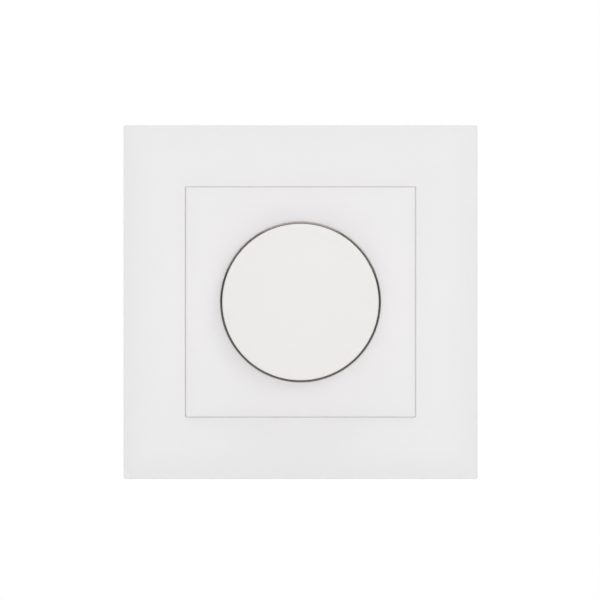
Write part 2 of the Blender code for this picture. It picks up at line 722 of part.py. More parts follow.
def potentiometer(bench, axis, finishes):
    bore = SHAFT_RADIUS + RUNNING_FIT
    bushing = [
        (THREAD_RADIUS, thread_top),
        (THREAD_RADIUS, -REST_GAP),
        (POT_RADIUS, -REST_GAP),
        (POT_RADIUS, flange_low),
        (bore, flange_low),
        (bore, thread_top),
    ]
    place("pot_bushing", turned(bushing, ROUND_STEPS), finishes["brass"], bench)
    shape = hex_nut(on_support, POT_NUT_THICKNESS)
    place("pot_nut", shape, finishes["zinc_steel"], bench)

    inside = POT_RADIUS - CUP_WALL
    hole = SHAFT_RADIUS + REST_GAP
    cup = [
        (POT_RADIUS, cup_top),
        (POT_RADIUS, cup_low),
        (hole, cup_low),
        (hole, cup_inside),
        (inside, cup_inside),
        (inside, cup_top),
    ]
    place("pot_body", turned(cup, ROUND_STEPS), finishes["resin_brown"], bench)

    track = sector(TRACK_INSIDE, inside - TRACK_MARGIN, TRACK_SWEEP, 90, SMALL_STEPS)
    shape = extruded(track, track_low, track_top)
    place("resistor_track", shape, finishes["carbon_track"], bench)

    rotor_bore = SHAFT_RADIUS + THREAD_GAP
    hub = rotor_bore + ROTOR_HUB_WALL
    rotor = [
        (0, rotor_top + ROTOR_HUB_HEIGHT),
        (hub, rotor_top + ROTOR_HUB_HEIGHT),
        (hub, rotor_top),
        (inside - ROTOR_MARGIN, rotor_top),
        (inside - ROTOR_MARGIN, rotor_low),
        (0, rotor_low),
    ]
    keyed = d_shape(rotor_bore, SHAFT_RADIUS - FLAT_DEPTH + THREAD_GAP, SMALL_STEPS)
    cutter = extruded(keyed, rotor_low - OVERRUN, cup_top)
    shape = with_cut(turned(rotor, ROUND_STEPS), cutter)
    place("wiper_rotor", shape, finishes["black_plastic"], axis)

    contact = sector(CONTACT_INSIDE, inside - 2 * TRACK_MARGIN, CONTACT_SWEEP, 90, SMALL_STEPS // 2)
    shape = extruded(contact, contact_low, contact_top)
    place("wiper_spring", shape, finishes["spring_steel"], axis)


# ---- push switch ----


def push_switch(bench, axis, finishes):
    half = SWITCH_SIZE / 2
    well_floor = switch_low + WELL_FLOOR
    shape = extruded(rounded(half, half, SWITCH_CORNER), switch_low, switch_top)
    well = disc(well_radius, well_floor, switch_top + OVERRUN, SMALL_STEPS)
    place("switch_body", with_cut(shape, well), finishes["black_plastic"], bench)
    shape = disc(plunger_radius, plunger_low, plunger_top, SMALL_STEPS)
    place("switch_plunger", shape, finishes["housing_grey"], axis)

    # The coil's end turns rest a gap away from the plunger and from the well's floor.
    coil_radius = well_radius - SPRING_MARGIN - SPRING_WIRE / 2
    coil_low = well_floor + REST_GAP + SPRING_WIRE / 2
    coil_height = plunger_low - REST_GAP - SPRING_WIRE / 2 - coil_low
    steps = SPRING_TURNS * THREAD_STEPS
    wire = bpy.data.curves.new("push_spring", "CURVE")
    wire.dimensions = "3D"
    wire.bevel_depth = SPRING_WIRE / 2
    wire.bevel_resolution = 1
    wire.use_fill_caps = True
    path = wire.splines.new("POLY")
    path.points.add(steps)
    for i, point in enumerate(path.points):
        turn = 2 * pi * SPRING_TURNS * i / steps
        height = coil_low + coil_height * i / steps
        point.co = (coil_radius * cos(turn), coil_radius * sin(turn), height, 1)
    spring = bpy.data.objects.new("push_spring", wire)
    spring.parent = bench
    wire.materials.append(finishes["spring_steel"])
    bpy.context.scene.collection.objects.link(spring)


# ---- circuit board ----


def circuit_board(bench, finishes):
    shape = extruded(housing_outline(HOUSING_WALL + BOARD_MARGIN), board_low, board_top)
    holes = []
    for side in (-1, 1):
        centre = (side * boss_x, boss_y)
        holes.append(
            disc(BOSS_RADIUS + 2 * THREAD_GAP, board_low - OVERRUN, board_top + OVERRUN, SMALL_STEPS, centre)
        )
    place("circuit_board", with_cut(shape, joined(*holes)), finishes["board_green"], bench)


def choke(bench, finishes):
    """A ring core in a winding that is open at one place, so that the core's hollow isn't sealed."""
    low = on_board
    high = low + CHOKE_HEIGHT
    hollow = WINDING_WALL + REST_GAP
    core = [
        (CHOKE_RADIUS - hollow, high - hollow),
        (CHOKE_RADIUS - hollow, low + hollow),
        (CHOKE_BORE + hollow, low + hollow),
        (CHOKE_BORE + hollow, high - hollow),
    ]
    centre = (0, choke_y, 0)
    place("choke_core", turned(core, ROUND_STEPS), finishes["ferrite"], bench, centre)

    full = sector(CHOKE_BORE, CHOKE_RADIUS, WINDING_SWEEP, 270, ROUND_STEPS)
    shape = extruded(full, low, high)
    tunnel = [
        (CHOKE_RADIUS - WINDING_WALL, high - WINDING_WALL),
        (CHOKE_RADIUS - WINDING_WALL, low + WINDING_WALL),
        (CHOKE_BORE + WINDING_WALL, low + WINDING_WALL),
        (CHOKE_BORE + WINDING_WALL, high - WINDING_WALL),
    ]
    shape = with_cut(shape, turned(tunnel, ROUND_STEPS))
    place("choke_winding", shape, finishes["copper_wire"], bench, centre)


def capacitors(bench, finishes):
    middle = POT_RADIUS + FILM_GAP + FILM_DEPTH / 2
    film_half = boss_x - BOSS_RADIUS - FILM_SIDE_GAP
    outline = rounded(film_half, FILM_DEPTH / 2, SWITCH_CORNER, (0, middle))
    shape = extruded(outline, on_board, on_board + FILM_HEIGHT)
    place("film_capacitor", shape, finishes["capacitor_yellow"], bench)
    can_x = HOUSING_HALF_WIDTH - HOUSING_WALL - CAN_GAP - CAN_RADIUS
    groove = on_board + CAN_HEIGHT * 0.16
    can = [
        (0, on_board + CAN_HEIGHT),
        (CAN_RADIUS - EMBED, on_board + CAN_HEIGHT),
        (CAN_RADIUS, on_board + CAN_HEIGHT - EMBED),
        (CAN_RADIUS, groove + EMBED),
        (CAN_RADIUS - EMBED, groove),
        (CAN_RADIUS, groove - EMBED),
        (CAN_RADIUS, on_board),
        (0, on_board),
    ]
    shape = turned(can, SMALL_STEPS)
    place("timing_capacitor", shape, finishes["capacitor_blue"], bench, (can_x, CAN_Y, 0))


def triac(bench, finishes):
    """A power package lying on the support plate's back, with its tab to the left and legs to the board."""
    top = -REST_GAP
    low = top - TRIAC_THICKNESS
    right = triac_left + TRIAC_LENGTH
    front = triac_y - TRIAC_WIDTH / 2
    back = triac_y + TRIAC_WIDTH / 2
    body_left = triac_left + TAB_LENGTH
    body = box((body_left, front, low), (right, back, top))
    tab = box((triac_left, front, top - TAB_THICKNESS), (body_left + EMBED, back, top))
    hole = disc(TRIAC_SCREW_RADIUS + REST_GAP, low, top + OVERRUN, SMALL_STEPS, (triac_screw_x, triac_y))
    middle = (low + top) / 2
    outside = right + LEG_REACH
    bent = [
        (right - EMBED, middle - LEG_SIZE / 2),
        (outside - LEG_SIZE, middle - LEG_SIZE / 2),
        (outside - LEG_SIZE, on_board),
        (outside, on_board),
        (outside, middle + LEG_SIZE / 2),
        (right - EMBED, middle + LEG_SIZE / 2),
    ]
    legs = []
    for number in (-1, 0, 1):
        leg_y = triac_y + number * LEG_PITCH
        legs.append(extruded(bent, leg_y - LEG_SIZE / 2, leg_y + LEG_SIZE / 2, "Y"))
    shape = with_cut(with_added(body, tab, joined(*legs)), hole)
    place("triac", shape, finishes["black_plastic"], bench)

    head_top = top - TAB_THICKNESS - REST_GAP
    screw = [
        (0, support_front),
        (TRIAC_SCREW_RADIUS, support_front),
        (TRIAC_SCREW_RADIUS, head_top),
        (TRIAC_HEAD_RADIUS, head_top),
        (TRIAC_HEAD_RADIUS, head_top - TRIAC_HEAD_HEIGHT),
        (0, head_top - TRIAC_HEAD_HEIGHT),
    ]
    shape = turned(screw, THREAD_STEPS)
    place("triac_screw", shape, finishes["zinc_steel"], bench, (triac_screw_x, triac_y, 0))


def fuse(bench, finishes):
    """A glass fuse along y between two metal caps, each in a spring clip on the board."""
    glass_radius = FUSE_RADIUS - FUSE_CAP_WALL - GLASS_PLAY
    glass_half = FUSE_LENGTH / 2 - FUSE_CAP_WALL - REST_GAP
    glass = [
        (glass_radius, glass_half),
        (glass_radius, -glass_half),
        (glass_radius - GLASS_WALL, -glass_half),
        (glass_radius - GLASS_WALL, glass_half),
    ]
    along_y = (-pi / 2, 0, 0)
    centre = (fuse_x, 0, fuse_z)
    place("fuse_tube", turned(glass, SMALL_STEPS), finishes["fuse_glass"], bench, centre, along_y)
    end = FUSE_LENGTH / 2
    cap = [
        (0, end),
        (FUSE_RADIUS, end),
        (FUSE_RADIUS, end - FUSE_CAP_LENGTH),
        (FUSE_RADIUS - FUSE_CAP_WALL, end - FUSE_CAP_LENGTH),
        (FUSE_RADIUS - FUSE_CAP_WALL, end - FUSE_CAP_WALL),
        (0, end - FUSE_CAP_WALL),
    ]
    inside = FUSE_RADIUS + REST_GAP
    outside = inside + CLIP_SHEET
    arm_top = fuse_z + CLIP_ARM
    clip = [
        (fuse_x - outside, on_board),
        (fuse_x + outside, on_board),
        (fuse_x + outside, arm_top),
        (fuse_x + inside, arm_top),
        (fuse_x + inside, clip_base_top),
        (fuse_x - inside, clip_base_top),
        (fuse_x - inside, arm_top),
        (fuse_x - outside, arm_top),
    ]
    for word, side in (("top", 1), ("bottom", -1)):
        turn = (-pi / 2 * side, 0, 0)
        shape = turned(cap, SMALL_STEPS)
        place(f"fuse_cap_{word}", shape, finishes["tinned_metal"], bench, centre, turn)
        middle = side * (FUSE_LENGTH - FUSE_CAP_LENGTH) / 2
        shape = extruded(clip, middle - CLIP_LENGTH / 2, middle + CLIP_LENGTH / 2, "Y")
        place(f"fuse_clip_{word}", shape, finishes["brass"], bench)


# ---- support plate, insulating cover and housing ----


def support_plate(bench, finishes):
    low = -OVERRUN
    high = SUPPORT_THICKNESS + OVERRUN
    shape = extruded(rounded(support_half, support_half, SUPPORT_CORNER), 0, SUPPORT_THICKNESS)
    holes = [disc(THREAD_RADIUS + REST_GAP, low, high, ROUND_STEPS)]
    triac_hole = TRIAC_SCREW_RADIUS + REST_GAP
    holes.append(disc(triac_hole, low, high, THREAD_STEPS, (triac_screw_x, triac_y)))
    corner = support_half - CORNER_HOLE_MARGIN
    for side in (-1, 1):
        claw_hole = CLAW_SCREW_RADIUS + REST_GAP
        holes.append(disc(claw_hole, low, high, THREAD_STEPS, (side * claw_screw_x, 0)))
        screw_hole = HOUSING_SCREW_RADIUS + 2 * THREAD_GAP
        holes.append(disc(screw_hole, low, high, THREAD_STEPS, (side * boss_x, boss_y)))
        for end in (-1, 1):
            holes.append(disc(CORNER_HOLE_RADIUS, low, high, THREAD_STEPS, (side * corner, end * corner)))
    keyholes = []
    for side in (-1, 1):
        middle = side * BOX_SCREW_SPACING / 2
        slot = extruded(oblong(SLOT_LENGTH, SLOT_WIDTH, (0, middle)), low, high)
        inner_end = middle - side * (SLOT_LENGTH / 2 - KEYHOLE_RADIUS)
        keyhole = disc(KEYHOLE_RADIUS, low, high, SMALL_STEPS, (0, inner_end))
        keyholes.append(with_added(slot, keyhole))
    shape = with_cut(shape, joined(*holes), joined(*keyholes))
    place("support_plate", shape, finishes["zinc_steel"], bench)


def insulating_cover(bench, finishes):
    """A tray over the nut and the screw heads, open towards the support plate."""
    outline = rounded(insulator_half_x, insulator_half_y, INSULATOR_CORNER)
    inner_x = insulator_half_x - INSULATOR_WALL
    inner_y = insulator_half_y - INSULATOR_WALL
    inner = rounded(inner_x, inner_y, INSULATOR_CORNER - INSULATOR_WALL)
    shape = extruded(outline, on_support, insulator_front)
    pocket = extruded(inner, on_support - OVERRUN, insulator_under)
    hole = THREAD_RADIUS + 2 * THREAD_GAP
    opening = disc(hole, insulator_under - OVERRUN, insulator_front + OVERRUN, ROUND_STEPS)
    place("insulating_cover", with_cut(shape, pocket, opening), finishes["resin_brown"], bench)


def base_housing(bench, finishes):
    """The tub behind the wall, with screw bosses, terminal chambers and ears for the claws' pins."""
    shape = extruded(housing_outline(0), housing_rear, housing_top)
    shape = with_cut(shape, extruded(housing_outline(HOUSING_WALL), housing_floor, housing_top + OVERRUN))
    inner_bottom = -(HOUSING_BOTTOM - HOUSING_WALL)
    boss_top = housing_top - REST_GAP
    grown = []
    for side in (-1, 1):
        grown.append(
            disc(BOSS_RADIUS, housing_floor - EMBED, boss_top, SMALL_STEPS, (side * boss_x, boss_y))
        )
        middle = side * TERMINAL_PITCH / 2
        left = middle - PARTITION_THICKNESS / 2
        right = middle + PARTITION_THICKNESS / 2
        back = bar_rear() + 2 * REST_GAP
        low = (left, inner_bottom - EMBED, housing_floor - EMBED)
        grown.append(box(low, (right, back, board_low - REST_GAP)))
        ear_out = side * (pivot_x + EAR_REACH)
        ear_in = side * (HOUSING_HALF_WIDTH - EMBED)
        for end in (-1, 1):
            near = end * (CLAW_WIDTH / 2 + EAR_GAP)
            far = near + end * EAR_THICKNESS
            xs = sorted((ear_in, ear_out))
            ys = sorted((near, far))
            low = (xs[0], ys[0], -PIVOT_DEPTH - EAR_REACH)
            grown.append(box(low, (xs[1], ys[1], -PIVOT_DEPTH + EAR_REACH)))
    shape = with_added(shape, joined(*grown))

    cuts = []
    pin_hole = PIN_RADIUS + SLIP_FIT
    ear_end = CLAW_WIDTH / 2 + EAR_GAP + EAR_THICKNESS
    for side in (-1, 1):
        centre = (side * boss_x, boss_y)
        bore = HOUSING_SCREW_RADIUS + THREAD_GAP
        depth = -HOUSING_SCREW_REACH - 2 * OVERRUN
        cuts.append(disc(bore, depth, boss_top + OVERRUN, THREAD_STEPS, centre))
        hole = circle(pin_hole, THREAD_STEPS, (side * pivot_x, -PIVOT_DEPTH))
        cuts.append(extruded(hole, -ear_end - OVERRUN, ear_end + OVERRUN, "Y"))
    entry_z = (bar_top + cage_top - CAGE_WALL) / 2
    head_hole = TERMINAL_HEAD_RADIUS + REST_GAP
    for number in (-1, 0, 1):
        x = number * TERMINAL_PITCH
        low = housing_rear - OVERRUN
        high = housing_floor + OVERRUN
        cuts.append(disc(head_hole, low, high, SMALL_STEPS, (x, terminal_y)))
        entry = rounded(ENTRY_WIDTH / 2, ENTRY_HEIGHT / 2, ENTRY_CORNER, (x, entry_z))
        cuts.append(extruded(entry, -HOUSING_BOTTOM - OVERRUN, inner_bottom + OVERRUN, "Y"))
    place("base_housing", with_cut(shape, joined(*cuts)), finishes["housing_grey"], bench)


def slotted_screw(head_radius, head_height, radius, reach):
    """A screw round its own origin: underside of the head at z = 0, shank down, slot across the head."""
    profile = [
        (0, head_height),
        (head_radius - EMBED, head_height),
        (head_radius, head_height - EMBED),
        (head_radius, 0),
        (radius, 0),
        (radius, -reach + EMBED),
        (radius - EMBED, -reach),
        (0, -reach),
    ]
    beyond = head_radius + OVERRUN
    slot_low = head_height - SCREW_SLOT_DEPTH
    slot = box((-beyond, -SCREW_SLOT / 2, slot_low), (beyond, SCREW_SLOT / 2, head_height + OVERRUN))
    return with_cut(turned(profile, THREAD_STEPS), slot)


def housing_screws(bench, finishes):
    reach = HOUSING_SCREW_REACH + on_support
    for word, side in (("left", -1), ("right", 1)):
        shape = slotted_screw(HOUSING_HEAD_RADIUS, HOUSING_HEAD_HEIGHT, HOUSING_SCREW_RADIUS, reach)
        centre = (side * boss_x, boss_y, on_support)
        place(f"housing_screw_{word}", shape, finishes["zinc_steel"], bench, centre)


# ---- terminals ----


def bar_rear():
    """Where the terminal bars end, above the cages, as a y."""
    return terminal_y + CAGE_LENGTH / 2 + REST_GAP + BAR_THICKNESS


def terminals(bench, finishes):
    """Three lift clamps: the screw turns in place and draws its cage back, against the bar."""
    half_width = CAGE_WIDTH / 2
    half_length = CAGE_LENGTH / 2
    window_half = half_width - CAGE_SIDE
    bar_half = window_half - BAR_PLAY
    reach = screw_tip - terminal_head_top
    bar_front = terminal_y - half_length - BAR_END
    rear = bar_rear()
    bar = [
        (bar_front, bar_low),
        (rear, bar_low),
        (rear, board_low - REST_GAP),
        (rear - BAR_THICKNESS, board_low - REST_GAP),
        (rear - BAR_THICKNESS, bar_top),
        (bar_front, bar_top),
    ]
    for number in (1, 2, 3):
        x = (number - 2) * TERMINAL_PITCH
        axis = guide(f"terminal_axis_{number}", bench, (x, terminal_y, 0))
        shape = box((-half_width, -half_length, cage_low), (half_width, half_length, cage_top))
        beyond = half_length + OVERRUN
        low = (-window_half, -beyond, cage_low + CAGE_WALL)
        window = box(low, (window_half, beyond, cage_top - CAGE_WALL))
        thread = TERMINAL_SCREW_RADIUS + SLIP_FIT
        hole = disc(thread, cage_low - OVERRUN, cage_low + CAGE_WALL + OVERRUN / 2, THREAD_STEPS)
        shape = with_cut(shape, window, hole)
        place(f"terminal_cage_{number}", shape, finishes["zinc_steel"], axis)
        shape = slotted_screw(TERMINAL_HEAD_RADIUS, TERMINAL_HEAD_HEIGHT, TERMINAL_SCREW_RADIUS, reach)
        head = (0, 0, terminal_head_top)
        place(f"terminal_screw_{number}", shape, finishes["zinc_steel"], axis, head, (pi, 0, 0))
        shape = extruded(bar, x - bar_half, x + bar_half, "X")
        place(f"terminal_bar_{number}", shape, finishes["brass"], bench)


# ---- claws ----


def claw_shape():
    """A claw round its pivot: x outward from the housing, y out of the wall, z along the pivot's pin."""
    half = CLAW_WIDTH / 2
    sheet = CLAW_SHEET / 2
    shape = disc(BARREL_RADIUS, -half, half, SMALL_STEPS)
    strip = [
        (-sheet, 0),
        (-sheet, -CLAW_LENGTH),
        (CLAW_TIP, -CLAW_LENGTH),
        (CLAW_TIP, -CLAW_LENGTH + CLAW_SHEET),
        (sheet, -CLAW_LENGTH + 1.4 * CLAW_SHEET),
        (sheet, 0),
    ]
    lug = rectangle(0, LUG_LOW, LUG_LENGTH, LUG_HIGH)
    shape = with_added(shape, extruded(strip, -half, half), extruded(lug, -half, half))
    bore = disc(PIN_RADIUS + SLIP_FIT, -half - OVERRUN, half + OVERRUN, THREAD_STEPS)
    slot_half = CLAW_SCREW_RADIUS + THREAD_GAP
    slot_low = LEVER - CLAW_SCREW_RADIUS - CLAW_SLOT_PLAY
    slot_high = LEVER + CLAW_SCREW_RADIUS + CLAW_SLOT_PLAY
    low = (slot_low, LUG_LOW - OVERRUN, -slot_half)
    slot = box(low, (slot_high, LUG_HIGH + OVERRUN, slot_half))
    notch_left = CLAW_TIP - 1.5 * CLAW_SHEET
    low = (notch_left, -CLAW_LENGTH - OVERRUN, -CLAW_NOTCH / 2)
    notch = box(low, (CLAW_TIP + OVERRUN, -CLAW_LENGTH + 2 * CLAW_SHEET, CLAW_NOTCH / 2))
    return with_cut(shape, bore, slot, notch)


def claws(bench, finishes):
    ear_end = CLAW_WIDTH / 2 + EAR_GAP + EAR_THICKNESS
    reach = CLAW_SCREW_REACH + on_support
    for word, side, turn in (("left", -1, pi), ("right", 1, 0)):
        pivot = guide(f"claw_axis_{word}", bench, (side * pivot_x, 0, -PIVOT_DEPTH), (pi / 2, 0, turn))
        place(f"claw_{word}", claw_shape(), finishes["zinc_steel"], pivot)
        pin = disc(PIN_RADIUS, -ear_end + PIN_SINK, ear_end - PIN_SINK, THREAD_STEPS)
        place(f"claw_pin_{word}", pin, finishes["spring_steel"], pivot)
        shape = slotted_screw(CLAW_HEAD_RADIUS, CLAW_HEAD_HEIGHT, CLAW_SCREW_RADIUS, reach)
        centre = (side * claw_screw_x, 0, on_support)
        place(f"claw_screw_{word}", shape, finishes["zinc_steel"], bench, centre)


def clear_scene():
    for item in list(bpy.data.objects):
        bpy.data.objects.remove(item)


def build():
    clear_scene()
    finishes = make_finishes()
    bench = guide("bench", rotation=(pi / 2, 0, 0))
    knob_axis = guide("knob_axis", bench)
    cover_frame(bench, finishes)
    centre_plate(bench, finishes)
    plate_fixing(bench, finishes)
    knob(knob_axis, finishes)
    insulating_cover(bench, finishes)
    support_plate(bench, finishes)
    potentiometer(bench, knob_axis, finishes)
    control_shaft(knob_axis, finishes)
    push_switch(bench, knob_axis, finishes)
    circuit_board(bench, finishes)
    choke(bench, finishes)
    capacitors(bench, finishes)
    triac(bench, finishes)
    fuse(bench, finishes)
    base_housing(bench, finishes)
    housing_screws(bench, finishes)
    terminals(bench, finishes)
    claws(bench, finishes)


build()
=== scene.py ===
import json
import math

import bmesh
import bpy
from mathutils import Matrix, Vector

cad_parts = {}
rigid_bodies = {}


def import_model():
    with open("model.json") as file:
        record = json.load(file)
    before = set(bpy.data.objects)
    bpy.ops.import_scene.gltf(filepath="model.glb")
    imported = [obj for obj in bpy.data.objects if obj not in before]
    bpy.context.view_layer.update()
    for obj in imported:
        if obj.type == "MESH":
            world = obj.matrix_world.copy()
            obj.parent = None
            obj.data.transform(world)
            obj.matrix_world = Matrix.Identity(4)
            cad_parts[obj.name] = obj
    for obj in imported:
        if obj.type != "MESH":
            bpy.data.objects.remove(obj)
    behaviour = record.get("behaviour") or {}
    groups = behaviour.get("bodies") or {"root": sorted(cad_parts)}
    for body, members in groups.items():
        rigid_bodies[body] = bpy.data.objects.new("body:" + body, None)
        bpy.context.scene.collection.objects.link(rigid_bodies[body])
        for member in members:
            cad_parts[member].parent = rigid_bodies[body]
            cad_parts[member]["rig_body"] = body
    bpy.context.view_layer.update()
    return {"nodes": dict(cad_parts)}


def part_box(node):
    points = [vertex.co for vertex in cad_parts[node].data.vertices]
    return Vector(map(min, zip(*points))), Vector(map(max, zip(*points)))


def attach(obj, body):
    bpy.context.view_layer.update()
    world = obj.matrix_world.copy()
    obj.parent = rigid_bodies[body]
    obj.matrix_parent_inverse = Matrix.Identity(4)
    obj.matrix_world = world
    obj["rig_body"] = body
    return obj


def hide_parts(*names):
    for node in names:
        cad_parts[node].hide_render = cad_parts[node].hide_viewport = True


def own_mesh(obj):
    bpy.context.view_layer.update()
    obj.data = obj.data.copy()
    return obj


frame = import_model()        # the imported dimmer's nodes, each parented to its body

mm = 0.001
turn = 2 * math.pi

# Shapes are drawn on the bench, in millimetres: x right, y up, z out of the wall.
# Its zero is on the wall, at the knob's axis.
toWall = Matrix.Rotation(turn / 4, 4, "X") @ Matrix.Scale(mm, 4)
toBench = toWall.inverted()


def cadSize(node):
    low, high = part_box(node)
    a = toBench @ low
    b = toBench @ high
    return {"left": a.x, "right": b.x, "low": a.y, "high": b.y, "rear": b.z, "front": a.z}


def middleOf(box):
    x = (box["left"] + box["right"]) / 2
    y = (box["low"] + box["high"]) / 2
    z = (box["rear"] + box["front"]) / 2
    return x, y, z


# outlines: lists of (x, y), or of (radius, z) for a turned piece

def arc(radius, start, end, steps, centre=(0, 0)):
    angles = [start + (end - start) * i / steps for i in range(steps + 1)]
    return [(centre[0] + radius * math.cos(a), centre[1] + radius * math.sin(a)) for a in angles]


def circle(radius, steps, centre=(0, 0)):
    return arc(radius, 0, turn, steps, centre)[:-1]


def roundedRectangle(halfX, halfY, corner, steps=4, centre=(0, 0)):
    points = []
    for quarter, (sideX, sideY) in enumerate([(1, 1), (-1, 1), (-1, -1), (1, -1)]):
        middle = (centre[0] + sideX * (halfX - corner), centre[1] + sideY * (halfY - corner))
        points += arc(corner, quarter * turn / 4, (quarter + 1) * turn / 4, steps, middle)
    return points


def filleted(points, radii, steps=4, closed=False):
    count = len(points)
    result = []
    for i, point in enumerate(points):
        radius = radii[i] if isinstance(radii, (list, tuple)) else radii
        isEnd = not closed and i in (0, count - 1)
        if radius <= 0 or isEnd:
            result.append(tuple(point))
            continue
        here = Vector(point)
        before = Vector(points[i - 1]) - here
        after = Vector(points[(i + 1) % count]) - here
        half = before.angle(after) / 2
        if half > turn / 4 - 0.02:
            result.append(tuple(point))
            continue
        reach = min(radius / math.tan(half), 0.48 * before.length, 0.48 * after.length)
        radius = reach * math.tan(half)
        before.normalize()
        after.normalize()
        centre = here + (before + after).normalized() * radius / math.sin(half)
        first = here + before * reach - centre
        last = here + after * reach - centre
        start = math.atan2(first.y, first.x)
        sweep = (math.atan2(last.y, last.x) - start + turn / 2) % turn - turn / 2
        result += arc(radius, start, start + sweep, steps, centre)
    return result


# meshes, all in bench millimetres

def asMesh(shape):        # as it is, with no clean-up
    mesh = bpy.data.meshes.new("shape")
    shape.to_mesh(mesh)
    shape.free()
    return mesh


def meshFrom(shape):
    bmesh.ops.remove_doubles(shape, verts=shape.verts, dist=0.0005)
    bmesh.ops.recalc_face_normals(shape, faces=shape.faces)
    return asMesh(shape)


def turned(profile, steps):
    shape = bmesh.new()
    points = [shape.verts.new((radius, 0, z)) for radius, z in profile]
    pairs = list(zip(points, points[1:]))
    if profile[0][0] > 0:
        pairs.append((points[-1], points[0]))
    edges = [shape.edges.new(pair) for pair in pairs]
    bmesh.ops.spin(
        shape, geom=points + edges, axis=(0, 0, 1), cent=(0, 0, 0), angle=turn, steps=steps, use_merge=True
    )
    return meshFrom(shape)


def extruded(outline, low, high, along="Z"):
    shape = bmesh.new()
    points = {
        "Z": [(a, b, low) for a, b in outline],
        "Y": [(a, low, b) for a, b in outline],
        "X": [(low, a, b) for a, b in outline],
    }[along]
    push = {"Z": (0, 0, high - low), "Y": (0, high - low, 0), "X": (high - low, 0, 0)}[along]
    base = shape.faces.new([shape.verts.new(point) for point in points])
    end = bmesh.ops.extrude_face_region(shape, geom=[base])["geom"]
    endPoints = [item for item in end if isinstance(item, bmesh.types.BMVert)]
    bmesh.ops.translate(shape, vec=push, verts=endPoints)
    return meshFrom(shape)


def block(low, high):
    outline = [(low[0], low[1]), (high[0], low[1]), (high[0], high[1]), (low[0], high[1])]
    return extruded(outline, low[2], high[2])


def lofted(rings, closed=False):
    shape = bmesh.new()
    loops = [[shape.verts.new(point) for point in ring] for ring in rings]
    pairs = list(zip(loops, loops[1:]))
    if closed:
        pairs.append((loops[-1], loops[0]))
    else:
        shape.faces.new(loops[0])
        shape.faces.new(loops[-1])
    for near, far in pairs:
        for i, corner in enumerate(near):
            following = (i + 1) % len(near)
            shape.faces.new((corner, near[following], far[following], far[i]))
    return meshFrom(shape)


def squareLoft(section, cornerAt, closed):
    rings = []
    for half, z in section:
        rings.append([(x, y, z) for x, y in roundedRectangle(half, half, cornerAt(half), 5)])
    return lofted(rings, closed)


def joined(*meshes):
    shape = bmesh.new()
    for mesh in meshes:
        shape.from_mesh(mesh)
    return asMesh(shape)


def pointPaths(paths):        # loose points, with an edge from each to the next on its path
    shape = bmesh.new()
    for path in paths:
        points = [shape.verts.new(point) for point in path]
        for pair in zip(points, points[1:]):
            shape.edges.new(pair)
    return asMesh(shape)


def moved(mesh, offset=(0, 0, 0), rotation=None):
    mesh = mesh.copy()
    if rotation:
        mesh.transform(Matrix.Rotation(rotation[0], 4, rotation[1]))
    mesh.transform(Matrix.Translation(offset))
    return mesh


def linked(mesh):
    item = bpy.data.objects.new("working", mesh)
    bpy.context.scene.collection.objects.link(item)
    return item


def evaluatedMesh(item):
    graph = bpy.context.evaluated_depsgraph_get()
    return bpy.data.meshes.new_from_object(item.evaluated_get(graph))


def combined(body, operation, *tools):
    for tool in tools:
        pair = [linked(body), linked(tool)]
        modifier = pair[0].modifiers.new("combine", "BOOLEAN")
        modifier.operation = operation
        modifier.solver = "EXACT"
        modifier.object = pair[1]
        body = evaluatedMesh(pair[0])
        for item in pair:
            bpy.data.objects.remove(item)
    return body


def softened(mesh, width, segments=2, limit=40):
    item = linked(mesh)
    modifier = item.modifiers.new("edges", "BEVEL")
    modifier.width = width
    modifier.segments = segments
    modifier.limit_method = "ANGLE"
    modifier.angle_limit = math.radians(limit)
    modifier.miter_outer = "MITER_ARC"
    modifier.use_clamp_overlap = True
    result = evaluatedMesh(item)
    bpy.data.objects.remove(item)
    return result


def cadCopy(node):
    shape = bmesh.new()
    shape.from_mesh(frame["nodes"][node].data)
    shape.transform(toBench)
    bmesh.ops.remove_doubles(shape, verts=shape.verts, dist=0.002)
    bmesh.ops.dissolve_limit(
        shape, angle_limit=math.radians(0.5), verts=shape.verts, edges=shape.edges, delimit={"NORMAL"}
    )
    return meshFrom(shape)


# Geometry Nodes

def addNode(tree, kind, values=None, links=None, **settings):
    node = tree.nodes.new(kind)
    for name, value in settings.items():
        setattr(node, name, value)
    for socket, value in (values or {}).items():
        node.inputs[socket].default_value = value
    for socket, source in (links or {}).items():
        tree.links.new(source, node.inputs[socket])
    return node


def startTree(name, sizes):
    tree = bpy.data.node_groups.new(name, "GeometryNodeTree")
    tree.interface.new_socket(name="Geometry", in_out="INPUT", socket_type="NodeSocketGeometry")
    kinds = {int: "NodeSocketInt", float: "NodeSocketFloat", tuple: "NodeSocketVector"}
    for label, start in sizes.items():
        socket = tree.interface.new_socket(name=label, in_out="INPUT", socket_type=kinds[type(start)])
        socket.default_value = start
    tree.interface.new_socket(name="Material", in_out="INPUT", socket_type="NodeSocketMaterial")
    tree.interface.new_socket(name="Geometry", in_out="OUTPUT", socket_type="NodeSocketGeometry")
    given = tree.nodes.new("NodeGroupInput").outputs
    return tree, given


def endTree(tree, given, geometry):
    real = addNode(tree, "GeometryNodeRealizeInstances", links={"Geometry": geometry})
    painted = addNode(
        tree, "GeometryNodeSetMaterial", links={"Geometry": real.outputs[0], "Material": given["Material"]}
    )
    addNode(tree, "NodeGroupOutput", links={"Geometry": painted.outputs[0]})
    return tree


def grown(tree, values, material, mesh=None):
    item = linked(mesh or bpy.data.meshes.new("empty"))
    modifier = item.modifiers.new("grow", "NODES")
    modifier.node_group = tree
    for socket in tree.interface.items_tree:
        if socket.name in values:
            modifier[socket.identifier] = values[socket.name]
        if socket.name == "Material":
            modifier[socket.identifier] = material
    result = evaluatedMesh(item)
    item.modifiers.remove(modifier)
    bpy.data.objects.remove(item)
    return result


